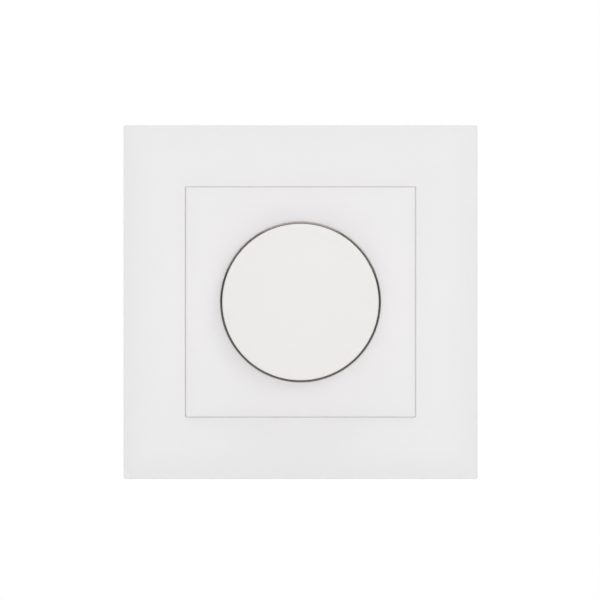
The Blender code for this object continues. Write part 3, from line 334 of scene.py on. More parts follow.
def coilTree():        # a wire or a thread ridge wound along z
    sizes = {"Radius": 2.0, "Wire": 0.2, "Height": 4.0, "Turns": 5.0, "Steps": 24, "Sides": 8}
    tree, given = startTree("coil", sizes)
    spiral = addNode(tree, "GeometryNodeCurveSpiral", links={
        "Resolution": given["Steps"], "Rotations": given["Turns"], "Start Radius": given["Radius"],
        "End Radius": given["Radius"], "Height": given["Height"],
    })
    upright = addNode(tree, "GeometryNodeSetCurveNormal", links={"Curve": spiral.outputs[0]}, mode="Z_UP")
    section = addNode(tree, "GeometryNodeCurvePrimitiveCircle", links={
        "Resolution": given["Sides"], "Radius": given["Wire"],
    })
    swept = addNode(tree, "GeometryNodeCurveToMesh", {"Fill Caps": True}, {
        "Curve": upright.outputs[0], "Profile Curve": section.outputs[0],
    })
    return endTree(tree, given, swept.outputs[0])


def windingTree():        # loops of wire set side by side round a ring core
    sizes = {"Loops": 28, "Sweep": 5.4, "Start": 0.0, "Middle": 4.8, "Width": 4.2, "Height": 5.2,
             "Corner": 0.6, "Wire": 0.25}
    tree, given = startTree("winding", sizes)
    loop = addNode(tree, "GeometryNodeCurvePrimitiveQuadrilateral", links={
        "Width": given["Width"], "Height": given["Height"],
    })
    eased = addNode(tree, "GeometryNodeFilletCurve", {"Count": 4}, {
        "Curve": loop.outputs[0], "Radius": given["Corner"],
    }, mode="POLY")
    section = addNode(tree, "GeometryNodeCurvePrimitiveCircle", {"Resolution": 8}, {"Radius": given["Wire"]})
    swept = addNode(tree, "GeometryNodeCurveToMesh", links={
        "Curve": eased.outputs[0], "Profile Curve": section.outputs[0],
    })
    outward = addNode(tree, "ShaderNodeCombineXYZ", links={"X": given["Middle"]})
    stood = addNode(tree, "GeometryNodeTransform", {"Rotation": (turn / 4, 0, 0)}, {
        "Geometry": swept.outputs[0], "Translation": outward.outputs[0],
    })
    places = addNode(tree, "GeometryNodeMeshLine", {"Offset": (0, 0, 0)}, {"Count": given["Loops"]})
    index = addNode(tree, "GeometryNodeInputIndex")
    step = addNode(tree, "ShaderNodeMath", links={0: given["Sweep"], 1: given["Loops"]}, operation="DIVIDE")
    angle = addNode(tree, "ShaderNodeMath", links={
        0: index.outputs[0], 1: step.outputs[0], 2: given["Start"],
    }, operation="MULTIPLY_ADD")
    facing = addNode(tree, "ShaderNodeCombineXYZ", links={"Z": angle.outputs[0]})
    copies = addNode(tree, "GeometryNodeInstanceOnPoints", links={
        "Points": places.outputs[0], "Instance": stood.outputs[0], "Rotation": facing.outputs[0],
    })
    return endTree(tree, given, copies.outputs[0])


def rowTree():        # a row of the given shape, repeated round z
    sizes = {"Count": 2, "Start": (0.0, 0.0, 0.0), "Offset": (1.0, 0.0, 0.0), "Rounds": 1}
    tree, given = startTree("row", sizes)
    line = addNode(tree, "GeometryNodeMeshLine", links={
        "Count": given["Count"], "Start Location": given["Start"], "Offset": given["Offset"],
    })
    row = addNode(tree, "GeometryNodeInstanceOnPoints", links={
        "Points": line.outputs[0], "Instance": given["Geometry"],
    })
    centre = addNode(tree, "GeometryNodeMeshLine", {"Offset": (0, 0, 0)}, {"Count": given["Rounds"]})
    index = addNode(tree, "GeometryNodeInputIndex")
    share = addNode(tree, "ShaderNodeMath", links={
        0: index.outputs[0], 1: given["Rounds"],
    }, operation="DIVIDE")
    angle = addNode(tree, "ShaderNodeMath", {1: turn}, {0: share.outputs[0]}, operation="MULTIPLY")
    facing = addNode(tree, "ShaderNodeCombineXYZ", links={"Z": angle.outputs[0]})
    rounds = addNode(tree, "GeometryNodeInstanceOnPoints", links={
        "Points": centre.outputs[0], "Instance": row.outputs[0], "Rotation": facing.outputs[0],
    })
    return endTree(tree, given, rounds.outputs[0])


def jointTree():        # solder cones with their leads, one at each point of the given mesh
    sizes = {"Lead": 0.35, "LeadLength": 1.6, "Pad": 0.95, "Height": 0.8, "Seed": 7}
    tree, given = startTree("solder", sizes)
    cone = addNode(tree, "GeometryNodeMeshCone", {"Vertices": 20, "Side Segments": 3}, {
        "Radius Top": given["Lead"], "Radius Bottom": given["Pad"], "Depth": given["Height"],
    })
    lead = addNode(tree, "GeometryNodeMeshCylinder", {"Vertices": 14}, {
        "Radius": given["Lead"], "Depth": given["LeadLength"],
    })
    raised = addNode(tree, "GeometryNodeTransform", {"Translation": (0, 0, -0.3)}, {
        "Geometry": lead.outputs[0],
    })
    both = addNode(tree, "GeometryNodeJoinGeometry")
    tree.links.new(cone.outputs[0], both.inputs[0])
    tree.links.new(raised.outputs[0], both.inputs[0])
    size = addNode(tree, "FunctionNodeRandomValue", {2: 0.85, 3: 1.1}, {"Seed": given["Seed"]})
    copies = addNode(tree, "GeometryNodeInstanceOnPoints", links={
        "Points": given["Geometry"], "Instance": both.outputs[0], "Scale": size.outputs[1],
    })
    return endTree(tree, given, copies.outputs[0])


def traceTree():        # flat copper tracks swept along the given edges
    tree, given = startTree("traces", {"Width": 1.2, "Thickness": 0.08, "Bend": 1.0})
    path = addNode(tree, "GeometryNodeMeshToCurve", links={"Mesh": given["Geometry"]})
    eased = addNode(tree, "GeometryNodeFilletCurve", {"Count": 5}, {
        "Curve": path.outputs[0], "Radius": given["Bend"],
    }, mode="POLY")
    upright = addNode(tree, "GeometryNodeSetCurveNormal", links={"Curve": eased.outputs[0]}, mode="Z_UP")
    section = addNode(tree, "GeometryNodeCurvePrimitiveQuadrilateral", links={
        "Width": given["Width"], "Height": given["Thickness"],
    })
    swept = addNode(tree, "GeometryNodeCurveToMesh", {"Fill Caps": True}, {
        "Curve": upright.outputs[0], "Profile Curve": section.outputs[0],
    })
    return endTree(tree, given, swept.outputs[0])


coil = coilTree()
winding = windingTree()
row = rowTree()
solder = jointTree()
traces = traceTree()
print("trees built")


# materials

def hexColour(code):
    channels = [int(code[i:i + 2], 16) / 255 for i in (1, 3, 5)]
    linear = [c / 12.92 if c <= 0.04045 else ((c + 0.055) / 1.055) ** 2.4 for c in channels]
    return (*linear, 1)


def perMetre(millimetres):        # a texture scale from a real size
    return 1 / (millimetres * mm)


def startMaterial(name, slot, colour, roughness, **sockets):
    material = bpy.data.materials.new(name)
    material.use_nodes = True
    material["slot"] = slot
    tree = material.node_tree
    tree.nodes.clear()
    shader = addNode(tree, "ShaderNodeBsdfPrincipled", {
        "Base Color": hexColour(colour), "Roughness": roughness,
    })
    for socket, value in sockets.items():
        shader.inputs[socket.replace("_", " ")].default_value = value
    addNode(tree, "ShaderNodeOutputMaterial", links={"Surface": shader.outputs[0]})
    place = addNode(tree, "ShaderNodeTexCoord").outputs["Object"]
    return {"material": material, "tree": tree, "shader": shader, "place": place}


def addGrain(base, size, depth, strength=1.0, stretch=(1, 1, 1)):
    tree = base["tree"]
    stretched = addNode(tree, "ShaderNodeMapping", {"Scale": stretch}, {"Vector": base["place"]})
    noise = addNode(tree, "ShaderNodeTexNoise", {"Scale": perMetre(size), "Detail": 3.0}, {
        "Vector": stretched.outputs[0],
    })
    bump = addNode(tree, "ShaderNodeBump", {"Distance": depth * mm, "Strength": strength}, {
        "Height": noise.outputs["Fac"],
    })
    tree.links.new(bump.outputs[0], base["shader"].inputs["Normal"])
    return noise


def addMottle(base, size, first, second):
    tree = base["tree"]
    stretched = addNode(tree, "ShaderNodeMapping", links={"Vector": base["place"]})
    noise = addNode(tree, "ShaderNodeTexNoise", {"Scale": perMetre(size), "Detail": 4.0}, {
        "Vector": stretched.outputs[0],
    })
    mix = addNode(tree, "ShaderNodeMix", {6: hexColour(first), 7: hexColour(second)}, {
        0: noise.outputs["Fac"],
    }, data_type="RGBA")
    tree.links.new(mix.outputs[2], base["shader"].inputs["Base Color"])
    return noise


def addGloss(base, noise, low, high):
    spread = addNode(base["tree"], "ShaderNodeMapRange", {
        "From Min": 0.3, "From Max": 0.7, "To Min": low, "To Max": high,
    }, {"Value": noise.outputs["Fac"]})
    base["tree"].links.new(spread.outputs[0], base["shader"].inputs["Roughness"])


def waveScale(spacing):        # a wave texture repeats every turn / 20 of its scaled place
    return perMetre(spacing) * turn / 20


def addLathe(base, spacing, depth):        # tool rings, over the grain that is there
    tree = base["tree"]
    normal = base["shader"].inputs["Normal"]
    rings = addNode(tree, "ShaderNodeTexWave", {"Scale": waveScale(spacing), "Distortion": 0.6}, {
        "Vector": base["place"],
    }, wave_type="RINGS", rings_direction="Y")
    bump = addNode(tree, "ShaderNodeBump", {"Distance": depth * mm, "Strength": 0.6}, {
        "Height": rings.outputs["Fac"], "Normal": normal.links[0].from_socket,
    })
    tree.links.new(bump.outputs[0], normal)


def mouldedWhite():        # gloss-moulded ABS: clean cool white, a broad soft sheen, very fine grain
    base = startMaterial("mouldedWhiteAbs", "white_plastic", "#efedee", 0.47, IOR=1.5)
    addMottle(base, 9, "#f0eeef", "#eeeced")
    grain = addGrain(base, 0.35, 0.004, 0.5)
    addGloss(base, grain, 0.44, 0.5)
    return base["material"]


def knobWhite():        # the knob's ABS comes from a second batch: a breath warmer and slightly silkier
    base = startMaterial("mouldedWarmWhiteAbs", "white_plastic", "#f0eeec", 0.5, IOR=1.5)
    addMottle(base, 6, "#f1efed", "#efedeb")
    grain = addGrain(base, 0.3, 0.004, 0.5)
    addGloss(base, grain, 0.47, 0.53)
    return base["material"]


def smokedChrome():        # black-chrome plate on ABS: a dark warm mirror, lit by what it faces
    base = startMaterial("platedSmokedChrome", "dark_chrome", "#897f7b", 0.2, Metallic=1.0)
    mottle = addMottle(base, 3, "#867c78", "#8c827e")
    addGloss(base, mottle, 0.17, 0.23)
    addGrain(base, 0.5, 0.002, 0.4)
    addLathe(base, 0.12, 0.001)        # drawn a little coarse, to show at all
    return base["material"]


def zincSteel():        # pressed steel, zinc plated: cool grey, faint crystal patches, rolling lines along x
    base = startMaterial("zincPlatedSteel", "zinc_steel", "#b9bdc0", 0.32, Metallic=1.0)
    tree = base["tree"]
    crystals = addNode(tree, "ShaderNodeTexVoronoi", {"Scale": perMetre(2.6)}, {"Vector": base["place"]})
    tone = addNode(tree, "ShaderNodeMix", {6: hexColour("#b0b5b9"), 7: hexColour("#c4c6c6")}, {
        0: crystals.outputs["Color"],
    }, data_type="RGBA")
    tree.links.new(tone.outputs[2], base["shader"].inputs["Base Color"])
    lines = addGrain(base, 0.25, 0.006, 0.5, (0.04, 1, 1))
    addGloss(base, lines, 0.26, 0.4)
    return base["material"]


def springSteel():        # drawn stainless spring wire and strip: darker and glossier, fine draw lines
    base = startMaterial("drawnSpringSteel", "spring_steel", "#9b9a97", 0.25, Metallic=1.0)
    addMottle(base, 1.5, "#93928f", "#a5a4a1")
    lines = addGrain(base, 0.15, 0.004, 0.5)
    addGloss(base, lines, 0.2, 0.32)
    return base["material"]


def turnedBrass():        # free-cutting brass off the lathe: warm yellow, tool rings, slightly dulled patches
    base = startMaterial("turnedBrass", "brass", "#c8a560", 0.25, Metallic=1.0)
    mottle = addMottle(base, 2.5, "#bd9850", "#d2b06c")
    addGloss(base, mottle, 0.2, 0.36)
    addGrain(base, 0.2, 0.003, 0.5)
    addLathe(base, 0.2, 0.003)
    return base["material"]


def sparkGrey():        # filled polyamide from a spark-eroded tool: light grey, matt, evenly pebbled
    base = startMaterial("sparkTexturedPolyamide", "housing_grey", "#c3c4c1", 0.55, IOR=1.53)
    addMottle(base, 5, "#bfc0bd", "#c8c9c6")
    pebbles = addGrain(base, 0.45, 0.03, 0.7)
    addGloss(base, pebbles, 0.48, 0.62)
    return base["material"]


def blackThermoset():        # moulded black phenolic: deep and slightly brown, dull sheen
    base = startMaterial("mouldedBlackPhenolic", "black_plastic", "#242322", 0.42, IOR=1.55)
    addMottle(base, 1.2, "#1f1e1d", "#2b2a28")
    grain = addGrain(base, 0.25, 0.01, 0.6)
    addGloss(base, grain, 0.36, 0.5)
    return base["material"]


def gapShadeBlack():        # painted shade: soot black with no shine, laid as a ring in the knob's gap, where there is only shade, so the gap reads dark
    base = startMaterial("paintedGapShadeBlack", "black_plastic", "#1c1a1a", 0.8)
    addMottle(base, 0.8, "#191717", "#211f1f")
    addGrain(base, 0.3, 0.01, 0.6)
    return base["material"]


def brownPhenolic():        # pressed phenolic: red-brown with darker flecks of filler
    base = startMaterial("pressedBrownPhenolic", "resin_brown", "#85593f", 0.45, IOR=1.55)
    addMottle(base, 0.9, "#6f4730", "#946a4c")
    grain = addGrain(base, 0.4, 0.012, 0.6)
    addGloss(base, grain, 0.38, 0.54)
    return base["material"]


def carbonFilm():        # screened carbon ink: soot black, polished where the contact has run
    base = startMaterial("screenedCarbonFilm", "carbon_track", "#1b1a1a", 0.5)
    grain = addGrain(base, 0.2, 0.006, 0.6)
    addGloss(base, grain, 0.3, 0.6)
    return base["material"]


def maskGreen(name, dark, light):        # solder mask over glass cloth: green gloss, the weave just showing
    base = startMaterial(name, "board_green", dark, 0.3, IOR=1.5)
    tree = base["tree"]
    shader = base["shader"]
    threads = []
    for direction in ("X", "Z"):
        threads.append(addNode(tree, "ShaderNodeTexWave", {"Scale": waveScale(0.9), "Distortion": 0.8}, {
            "Vector": base["place"],
        }, bands_direction=direction))
    weave = addNode(tree, "ShaderNodeMath", links={
        0: threads[0].outputs["Fac"], 1: threads[1].outputs["Fac"],
    }, operation="MULTIPLY")
    mix = addNode(tree, "ShaderNodeMix", {6: hexColour(dark), 7: hexColour(light)}, {
        0: weave.outputs[0],
    }, data_type="RGBA")
    tree.links.new(mix.outputs[2], shader.inputs["Base Color"])
    bump = addNode(tree, "ShaderNodeBump", {"Distance": 0.01 * mm, "Strength": 0.5}, {
        "Height": weave.outputs[0],
    })
    tree.links.new(bump.outputs[0], shader.inputs["Normal"])
    return base["material"]


def sinteredFerrite():        # sintered ferrite: charcoal, dry, with pinholes
    base = startMaterial("sinteredFerrite", "ferrite", "#4b4b4e", 0.6, IOR=2.0)
    addMottle(base, 0.7, "#424245", "#56565a")
    addGrain(base, 0.3, 0.02, 0.7)
    return base["material"]


def enamelledCopper():        # winding wire: red-orange copper under clear varnish
    base = startMaterial(
        "enamelledCopperWire", "copper_wire", "#b4622f", 0.28,
        Metallic=1.0, Coat_Weight=0.6, Coat_Roughness=0.15
    )
    addMottle(base, 1.6, "#a85628", "#c06f38")
    addGrain(base, 0.3, 0.004, 0.5)
    return base["material"]


def castYellow():        # epoxy-cast film capacitor box: mustard yellow, satin, faint flow marks
    base = startMaterial("castYellowEpoxy", "capacitor_yellow", "#d9a32b", 0.38, IOR=1.5)
    addMottle(base, 3, "#d59e27", "#ddaa35")
    grain = addGrain(base, 0.5, 0.012, 0.5)
    addGloss(base, grain, 0.33, 0.45)
    return base["material"]


def shrunkBlue():        # heat-shrunk vinyl sleeve: dark blue, glossy, small ripples from shrinking
    base = startMaterial("shrunkBlueVinyl", "capacitor_blue", "#274a86", 0.28, IOR=1.5)
    addMottle(base, 2, "#24447c", "#2d5292")
    addGrain(base, 0.9, 0.03, 0.5, (1, 0.4, 1))
    return base["material"]


def tinnedSteel():        # hot-tinned leads and caps: pale, soft gloss, uneven coat
    base = startMaterial("hotTinnedSteel", "tinned_metal", "#cfcfca", 0.26, Metallic=1.0)
    mottle = addMottle(base, 0.8, "#c6c6c1", "#d8d8d4")
    addGloss(base, mottle, 0.2, 0.36)
    addGrain(base, 0.35, 0.01, 0.5)
    return base["material"]


def drawnGlass():        # drawn glass tube: clear with a trace of green, faint waves along it
    base = startMaterial(
        "drawnGlassTube", "fuse_glass", "#eef5f1", 0.04, IOR=1.5, Transmission_Weight=1.0
    )
    addGrain(base, 2, 0.01, 0.4)
    return base["material"]


finishes = {
    "white": mouldedWhite(),
    "knob": knobWhite(),
    "chrome": smokedChrome(),
    "zinc": zincSteel(),
    "spring": springSteel(),
    "brass": turnedBrass(),
    "grey": sparkGrey(),
    "black": blackThermoset(),
    "gapShade": gapShadeBlack(),
    # painted shade: the soot-black finish of the ring that darkens the knob's gap
    "brown": brownPhenolic(),
    "carbon": carbonFilm(),
    "board": maskGreen("solderMaskOverCloth", "#1f5634", "#2a6a41"),
    "track": maskGreen("solderMaskOverCopper", "#3c8a4a", "#4a9956"),
    "ferrite": sinteredFerrite(),
    "copper": enamelledCopper(),
    "yellow": castYellow(),
    "blue": shrunkBlue(),
    "tin": tinnedSteel(),
    "glass": drawnGlass(),
}
print("materials made:", len(finishes))


# pieces

def finishPiece(name, mesh, finish, nodes, body=None):
    mesh.transform(toWall)
    mesh.name = name
    mesh.materials.clear()
    mesh.materials.append(finishes[finish])
    mesh.shade_smooth()
    mesh.set_sharp_from_angle(angle=math.radians(34))
    piece = bpy.data.objects.new(name, mesh)
    bpy.context.scene.collection.objects.link(piece)
    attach(piece, body or frame["nodes"][nodes[0]]["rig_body"])
    if nodes:
        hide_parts(*nodes)
    return piece


def copyPiece(name, node, finish, width, segments=2):        # the CAD shape with its edges broken
    return finishPiece(name, softened(cadCopy(node), width, segments), finish, [node])


def repeated(mesh, finish, count=1, start=(0, 0, 0), offset=(0, 0, 0), rounds=1):
    values = {"Count": count, "Start": start, "Offset": offset, "Rounds": rounds}
    return grown(row, values, finishes[finish], mesh)


def wound(finish, radius, wire, low, high, turns, steps, sides):
    values = {
        "Radius": radius, "Wire": wire, "Height": high - low, "Turns": turns, "Steps": steps, "Sides": sides,
    }
    return moved(grown(coil, values, finishes[finish]), (0, 0, low))


# front: cover frame, centre plate, knob

coverFrame = {
    "wall": 1.8, "front": 1.8, "ledge": 1.55, "ledgeTop": 6.0, "ledgeFoot": 4.2, "collar": 1.4, "play": 0.15,
    "rebate": 0.22, "rebateGap": 0.03,
    "corner": 0.4, "openingCorner": 0.3, "edge": 0.18, "innerEdge": 0.1, "foot": 0.12,
    "ribThickness": 1.2, "ribOffset": 21.0, "ribFoot": 5.0, "sink": 0.3,
}


def makeCoverFrame():
    size = coverFrame
    frameBox = cadSize("cover_frame")
    half = frameBox["right"]
    front = frameBox["front"]
    opening = cadSize("centre_plate")["right"] + size["play"]
    under = front - size["front"]
    wallInside = half - size["wall"]
    ledgeHalf = opening - size["ledge"]
    collar = opening + size["collar"]
    step = front - size["rebate"]
    stepHalf = opening - size["play"] + size["rebateGap"]
    section = [
        (half, 0), (half, front), (opening, front), (opening, step), (stepHalf, step),
        (stepHalf, size["ledgeTop"]), (ledgeHalf, size["ledgeTop"]), (ledgeHalf, size["ledgeFoot"]),
        (collar, size["ledgeFoot"]), (collar, under), (wallInside, under), (wallInside, 0),
    ]
    foot = size["foot"]
    radii = [foot, size["edge"], size["innerEdge"], 0.03, 0.03, 0.1, 0.15, 0.15, 0.3, 0.5, 0.5, foot]
    middle = (half + opening) / 2

    def cornerAt(x):
        if x > middle:
            return max(0.06, size["corner"] - (half - x))
        return max(0.06, size["openingCorner"] + (x - opening))

    shell = squareLoft(filleted(section, radii, 4, closed=True), cornerAt, closed=True)
    finishPiece("coverFrameShell", shell, "white", ["cover_frame"])

    near = collar - size["sink"]
    far = wallInside + size["sink"]
    thick = size["ribThickness"] / 2
    rib = softened(block((-thick, near, size["ribFoot"]), (thick, far, under + size["sink"])), 0.12)
    aside = size["ribOffset"]
    ribs = repeated(rib, "white", 2, (-aside, 0, 0), (2 * aside, 0, 0), 4)
    finishPiece("coverFrameRibs", ribs, "white", [], "insert")


centrePlate = {
    "skirt": 1.2, "front": 1.8, "corner": 0.3, "edge": 0.3, "tube": 7.0, "boss": 12.0, "bossRear": 6.8,
    "hole": 5.2, "recess": 10.0, "recessFloor": 8.4, "recessEdge": 0.35, "skirtDrop": 2.4, "sink": 0.5,
}


def makeCentrePlate():
    size = centrePlate
    plateBox = cadSize("centre_plate")
    half = plateBox["right"]
    front = plateBox["front"]
    tubeRear = plateBox["rear"]
    skirtRear = cadSize("plate_washer")["rear"] - size["skirtDrop"]
    under = front - size["front"]
    inside = half - size["skirt"]
    section = [
        (inside - 2, under), (inside, under), (inside, skirtRear), (half, skirtRear), (half, front),
        (half - 3, front),
    ]

    def cornerAt(x):
        return max(0.06, size["corner"] - (half - x))

    shell = squareLoft(filleted(section, [0, 0.4, 0.15, 0.2, size["edge"], 0], 5), cornerAt, closed=False)
    tube = size["tube"]
    wide = size["boss"]
    bossTop = under + size["sink"]
    boss = [
        (0, tubeRear), (tube, tubeRear), (tube, size["bossRear"]), (wide, size["bossRear"]),
        (wide, bossTop), (0, bossTop),
    ]
    recess = size["recess"]
    floor = size["recessFloor"]
    edge = size["recessEdge"]
    sunk = [
        (0, tubeRear - 1), (size["hole"], tubeRear - 1), (size["hole"], floor), (recess, floor),
        (recess, front - edge), (recess + edge, front), (recess + 1.5 * edge, front + 1), (0, front + 1),
    ]
    shape = combined(shell, "UNION", turned(filleted(boss, [0, 0.3, 0.4, 0.3, 0, 0]), 96))
    shape = combined(shape, "DIFFERENCE", turned(filleted(sunk, [0, 0, 0.1, 0.3, 0.2, 0.1, 0, 0]), 96))
    finishPiece("centrePlateCap", shape, "white", ["centre_plate"])


knobSizes = {
    "wall": 1.5, "roof": 1.4, "hub": 5.5, "hubFoot": 13.5, "bore": 3.45, "lip": 0.12, "slack": 0.05,
    "ringInside": 17.1, "ringBase": 0.55, "gapShadeRing": 0.25, "gapShadeReach": 0.25, "gapShadeLap": 0.01, "gapShadeClearance": 0.05,
    "faceEdge": 0.3, "spigot": 16.8, "steps": 180,
    "ribs": 12, "ribThickness": 0.8, "ribReach": 1.1, "ribFoot": 1.2, "sink": 0.3,
}


def makeKnob():
    size = knobSizes
    body = cadSize("knob_body")
    side = body["right"]
    top = body["front"]
    foot = body["rear"]
    inside = side - size["wall"]
    under = top - size["roof"]
    profile = [
        (0, top), (side, top), (side, foot), (inside, foot), (inside, under), (size["hub"], under),
        (size["hub"], size["hubFoot"]), (size["bore"], size["hubFoot"]), (size["bore"], under), (0, under),
    ]
    radii = [0, 0.3, 0.45, 0.25, 0.6, 0.5, 0.25, 0.2, 0.1, 0]
    finishPiece("knobSkirt", turned(filleted(profile, radii, 5), size["steps"]), "knob", ["knob_body"])

    thick = size["ribThickness"] / 2
    low = (inside - size["ribReach"], -thick, foot + size["ribFoot"])
    rib = softened(block(low, (inside + size["sink"], thick, under + size["sink"])), 0.15)
    finishPiece("knobSkirtRibs", repeated(rib, "knob", rounds=size["ribs"]), "knob", [], "knob")

    ring = cadSize("knob_trim_ring")
    face = cadSize("knob_face")
    outer = ring["right"] - size["slack"]
    lipInside = face["right"] + size["lip"]
    base = ring["rear"] + size["ringBase"]
    profile = [
        (outer, ring["rear"]), (outer, ring["front"] - (outer - lipInside)), (lipInside, ring["front"]),
        (lipInside, base), (size["ringInside"], base), (size["ringInside"], ring["rear"]),
    ]
    band = turned(filleted(profile, [0.12, 0.05, 0, 0.05, 0.1, 0.1], 4, closed=True), size["steps"])
    finishPiece("knobTrimBand", band, "chrome", ["knob_trim_ring"])
    # painted shade: a black ring laid in the knob's gap, standing in for the shade there
    gapShadeTop = base + size["gapShadeRing"]
    near = face["right"] - size["gapShadeReach"]
    far = lipInside - size["gapShadeLap"]
    gapShadeRing = [(far, base), (far, gapShadeTop), (near, gapShadeTop), (near, base)]
    gapShadeMesh = turned(filleted(gapShadeRing, [0, 0.05, 0.05, 0], 3, closed=True), size["steps"])
    finishPiece("knobGapShade", gapShadeMesh, "gapShade", [], "knob")

    step = gapShadeTop + size["gapShadeClearance"]
    profile = [
        (0, face["front"]), (face["right"], face["front"]), (face["right"], step), (size["spigot"], step),
        (size["spigot"], face["rear"]), (0, face["rear"]),
    ]
    disc = turned(filleted(profile, [0, size["faceEdge"], 0.15, 0.2, 0.3, 0], 6), size["steps"])
    finishPiece("knobFaceDisc", disc, "knob", ["knob_face"])


hubSizes = {
    "shaft": 2.0, "flat": 1.5, "flatFoot": 13.2, "slip": 0.15, "groove": 1.5, "slot": 0.8, "slotDepth": 1.2,
}


def makeHub():
    size = hubSizes
    sleeve = cadSize("shaft_sleeve")
    outer = sleeve["right"]
    profile = [(0, sleeve["front"]), (outer, sleeve["front"]), (outer, sleeve["rear"]), (0, sleeve["rear"])]
    shape = turned(filleted(profile, [0, 0.25, 0.25, 0]), 64)
    radius = size["shaft"] + size["slip"]
    flat = size["flat"] + size["slip"]
    side = math.acos(flat / radius)
    bore = extruded(arc(radius, side, turn - side, 48), sleeve["rear"] - 1, sleeve["front"] + 1)
    finishPiece("hubSleeve", combined(shape, "DIFFERENCE", bore), "black", ["shaft_sleeve"])
    copyPiece("hubGripRing", "grip_ring", "spring", 0.08)

    shaft = cadSize("control_shaft")
    clip = cadSize("shaft_clip")
    radius = size["shaft"]
    grooveTop = clip["front"] + 0.1
    grooveRear = clip["rear"] - 0.1
    profile = [
        (0, shaft["front"]), (radius, shaft["front"]), (radius, grooveTop), (size["groove"], grooveTop),
        (size["groove"], grooveRear), (radius, grooveRear), (radius, shaft["rear"]), (0, shaft["rear"]),
    ]
    shape = turned(filleted(profile, [0, 0.25, 0.05, 0.08, 0.08, 0.05, 0.25, 0]), 72)
    wiper = cadSize("wiper_rotor")
    knobFlat = block((size["flat"], -3, size["flatFoot"]), (4, 3, shaft["front"] + 1))
    wiperFlat = block((size["flat"], -3, cadSize("pot_body")["rear"] + 0.3), (4, 3, wiper["front"] + 2.1))
    slotHalf = size["slot"] / 2
    slot = block((-3, -slotHalf, shaft["front"] - size["slotDepth"]), (3, slotHalf, shaft["front"] + 1))
    shape = combined(shape, "DIFFERENCE", joined(knobFlat, wiperFlat), slot)
    finishPiece("controlShaft", shape, "zinc", ["control_shaft"])
    copyPiece("shaftClip", "shaft_clip", "spring", 0.06)


makeCoverFrame()
makeCentrePlate()
makeKnob()
makeHub()
print("front made")


# fixings: nuts, washer, screws

def hexNut(node, bore, chamfer):
    box = cadSize(node)
    flat = box["high"]
    corner = box["right"]
    low = box["rear"]
    top = box["front"]
    wide = corner + 0.05
    ease = chamfer / 2
    profile = [
        (bore, low + ease), (bore + ease, low), (flat * 1.01, low), (wide, low + chamfer),
        (wide, top - chamfer), (flat * 1.01, top), (bore + ease, top), (bore, top - ease),
    ]
    six = extruded(circle(corner, 6), low - 1, top + 1)
    return combined(turned(filleted(profile, 0.08, 3, closed=True), 96), "INTERSECT", six)


def threadRidge(radius, pitch, low, high, depth, finish):
    return wound(finish, radius, depth, low, high, (high - low) / pitch, 36, 4)


plateFixing = {"nutBore": 5.0, "potBore": 5.0, "thread": 4.9, "pitch": 0.75, "depth": 0.22}


def makePlateFixing():
    size = plateFixing
    finishPiece("plateNut", hexNut("plate_nut", size["nutBore"], 0.3), "brass", ["plate_nut"])
    finishPiece("controlNut", hexNut("pot_nut", size["potBore"], 0.4), "zinc", ["pot_nut"])
    washer = cadSize("plate_washer")
    inside = size["thread"] + 0.2
    profile = [
        (inside, washer["rear"]), (washer["right"], washer["rear"]), (washer["right"], washer["front"]),
        (inside, washer["front"]),
    ]
    shape = turned(filleted(profile, [0.05, 0.18, 0.1, 0.05], 3, closed=True), 96)
    finishPiece("plateWasher", shape, "zinc", ["plate_washer"])

    bush = cadSize("pot_bushing")
    bore = hubSizes["shaft"] + 0.1
    root = size["thread"] - size["depth"]
    relief = cadSize("support_plate")["front"]
    profile = [
        (bore, bush["front"] - 0.2), (bore + 0.2, bush["front"]), (root - 0.35, bush["front"]),
        (root, bush["front"] - 0.4), (root, relief), (size["thread"], relief), (size["thread"], -0.3),
        (bush["right"], -0.3), (bush["right"], bush["rear"]), (bore, bush["rear"]),
    ]
    radii = [0, 0, 0.1, 0.1, 0.05, 0.05, 0.15, 0.15, 0.15, 0.05]
    shape = turned(filleted(profile, radii, 3, closed=True), 96)
    ridge = threadRidge(root, size["pitch"], relief + 0.3, bush["front"] - 0.5, size["depth"], "brass")
    finishPiece("threadedBushing", joined(shape, ridge), "brass", ["pot_bushing"])


def slotCutter(length, width, floor, top):
    outline = filleted(
        [(-width / 2, floor), (width / 2, floor), (width / 2, top), (-width / 2, top)],
        [0.45 * width, 0.45 * width, 0, 0], 5, closed=True
    )
    return extruded(outline, -length / 2, length / 2, "X")


def slottedScrew(head, headHeight, radius, reach, pitch, slot, slotDepth, dome=0.0, cross=0.0):
    depth = 0.28 * pitch
    root = radius - depth
    profile = [
        (0, headHeight), (0.5 * head, headHeight - 0.3 * dome), (head, headHeight - dome), (head, 0),
        (radius, 0), (root, -0.4), (root, -reach + 0.5), (root - 0.45, -reach), (0, -reach),
    ]
    shape = turned(filleted(profile, [0, 0.4, 0.3, 0.12, 0.1, 0.1, 0.1, 0.15, 0], 4), 56)
    cutter = slotCutter(2 * head + 2, slot, headHeight - slotDepth, headHeight + 1)
    shape = combined(shape, "DIFFERENCE", cutter)
    if cross:
        cutter = slotCutter(2 * cross * head, slot, headHeight - 0.9 * slotDepth, headHeight + 1)
        shape = combined(shape, "DIFFERENCE", moved(cutter, (0, 0, 0), (turn / 4, "Z")))
    return joined(shape, threadRidge(root, pitch, -reach + 0.6, -0.7, depth, "zinc"))


screws = {
    "housing": {"head": 2.2, "headHeight": 1.5, "radius": 1.5, "pitch": 0.8, "slot": 0.8, "slotDepth": 0.7},
    "claw": {
        "head": 2.8, "headHeight": 1.7, "radius": 1.5, "pitch": 0.7, "slot": 0.8, "slotDepth": 0.8,
        "cross": 0.62,
    },
    "terminal": {
        "head": 2.9, "headHeight": 1.7, "radius": 1.7, "pitch": 0.6, "slot": 0.8, "slotDepth": 0.8,
        "cross": 0.62,
    },
    "triac": {"head": 2.6, "headHeight": 1.3, "radius": 1.3, "pitch": 0.5, "slot": 0.8, "slotDepth": 0.6},
}


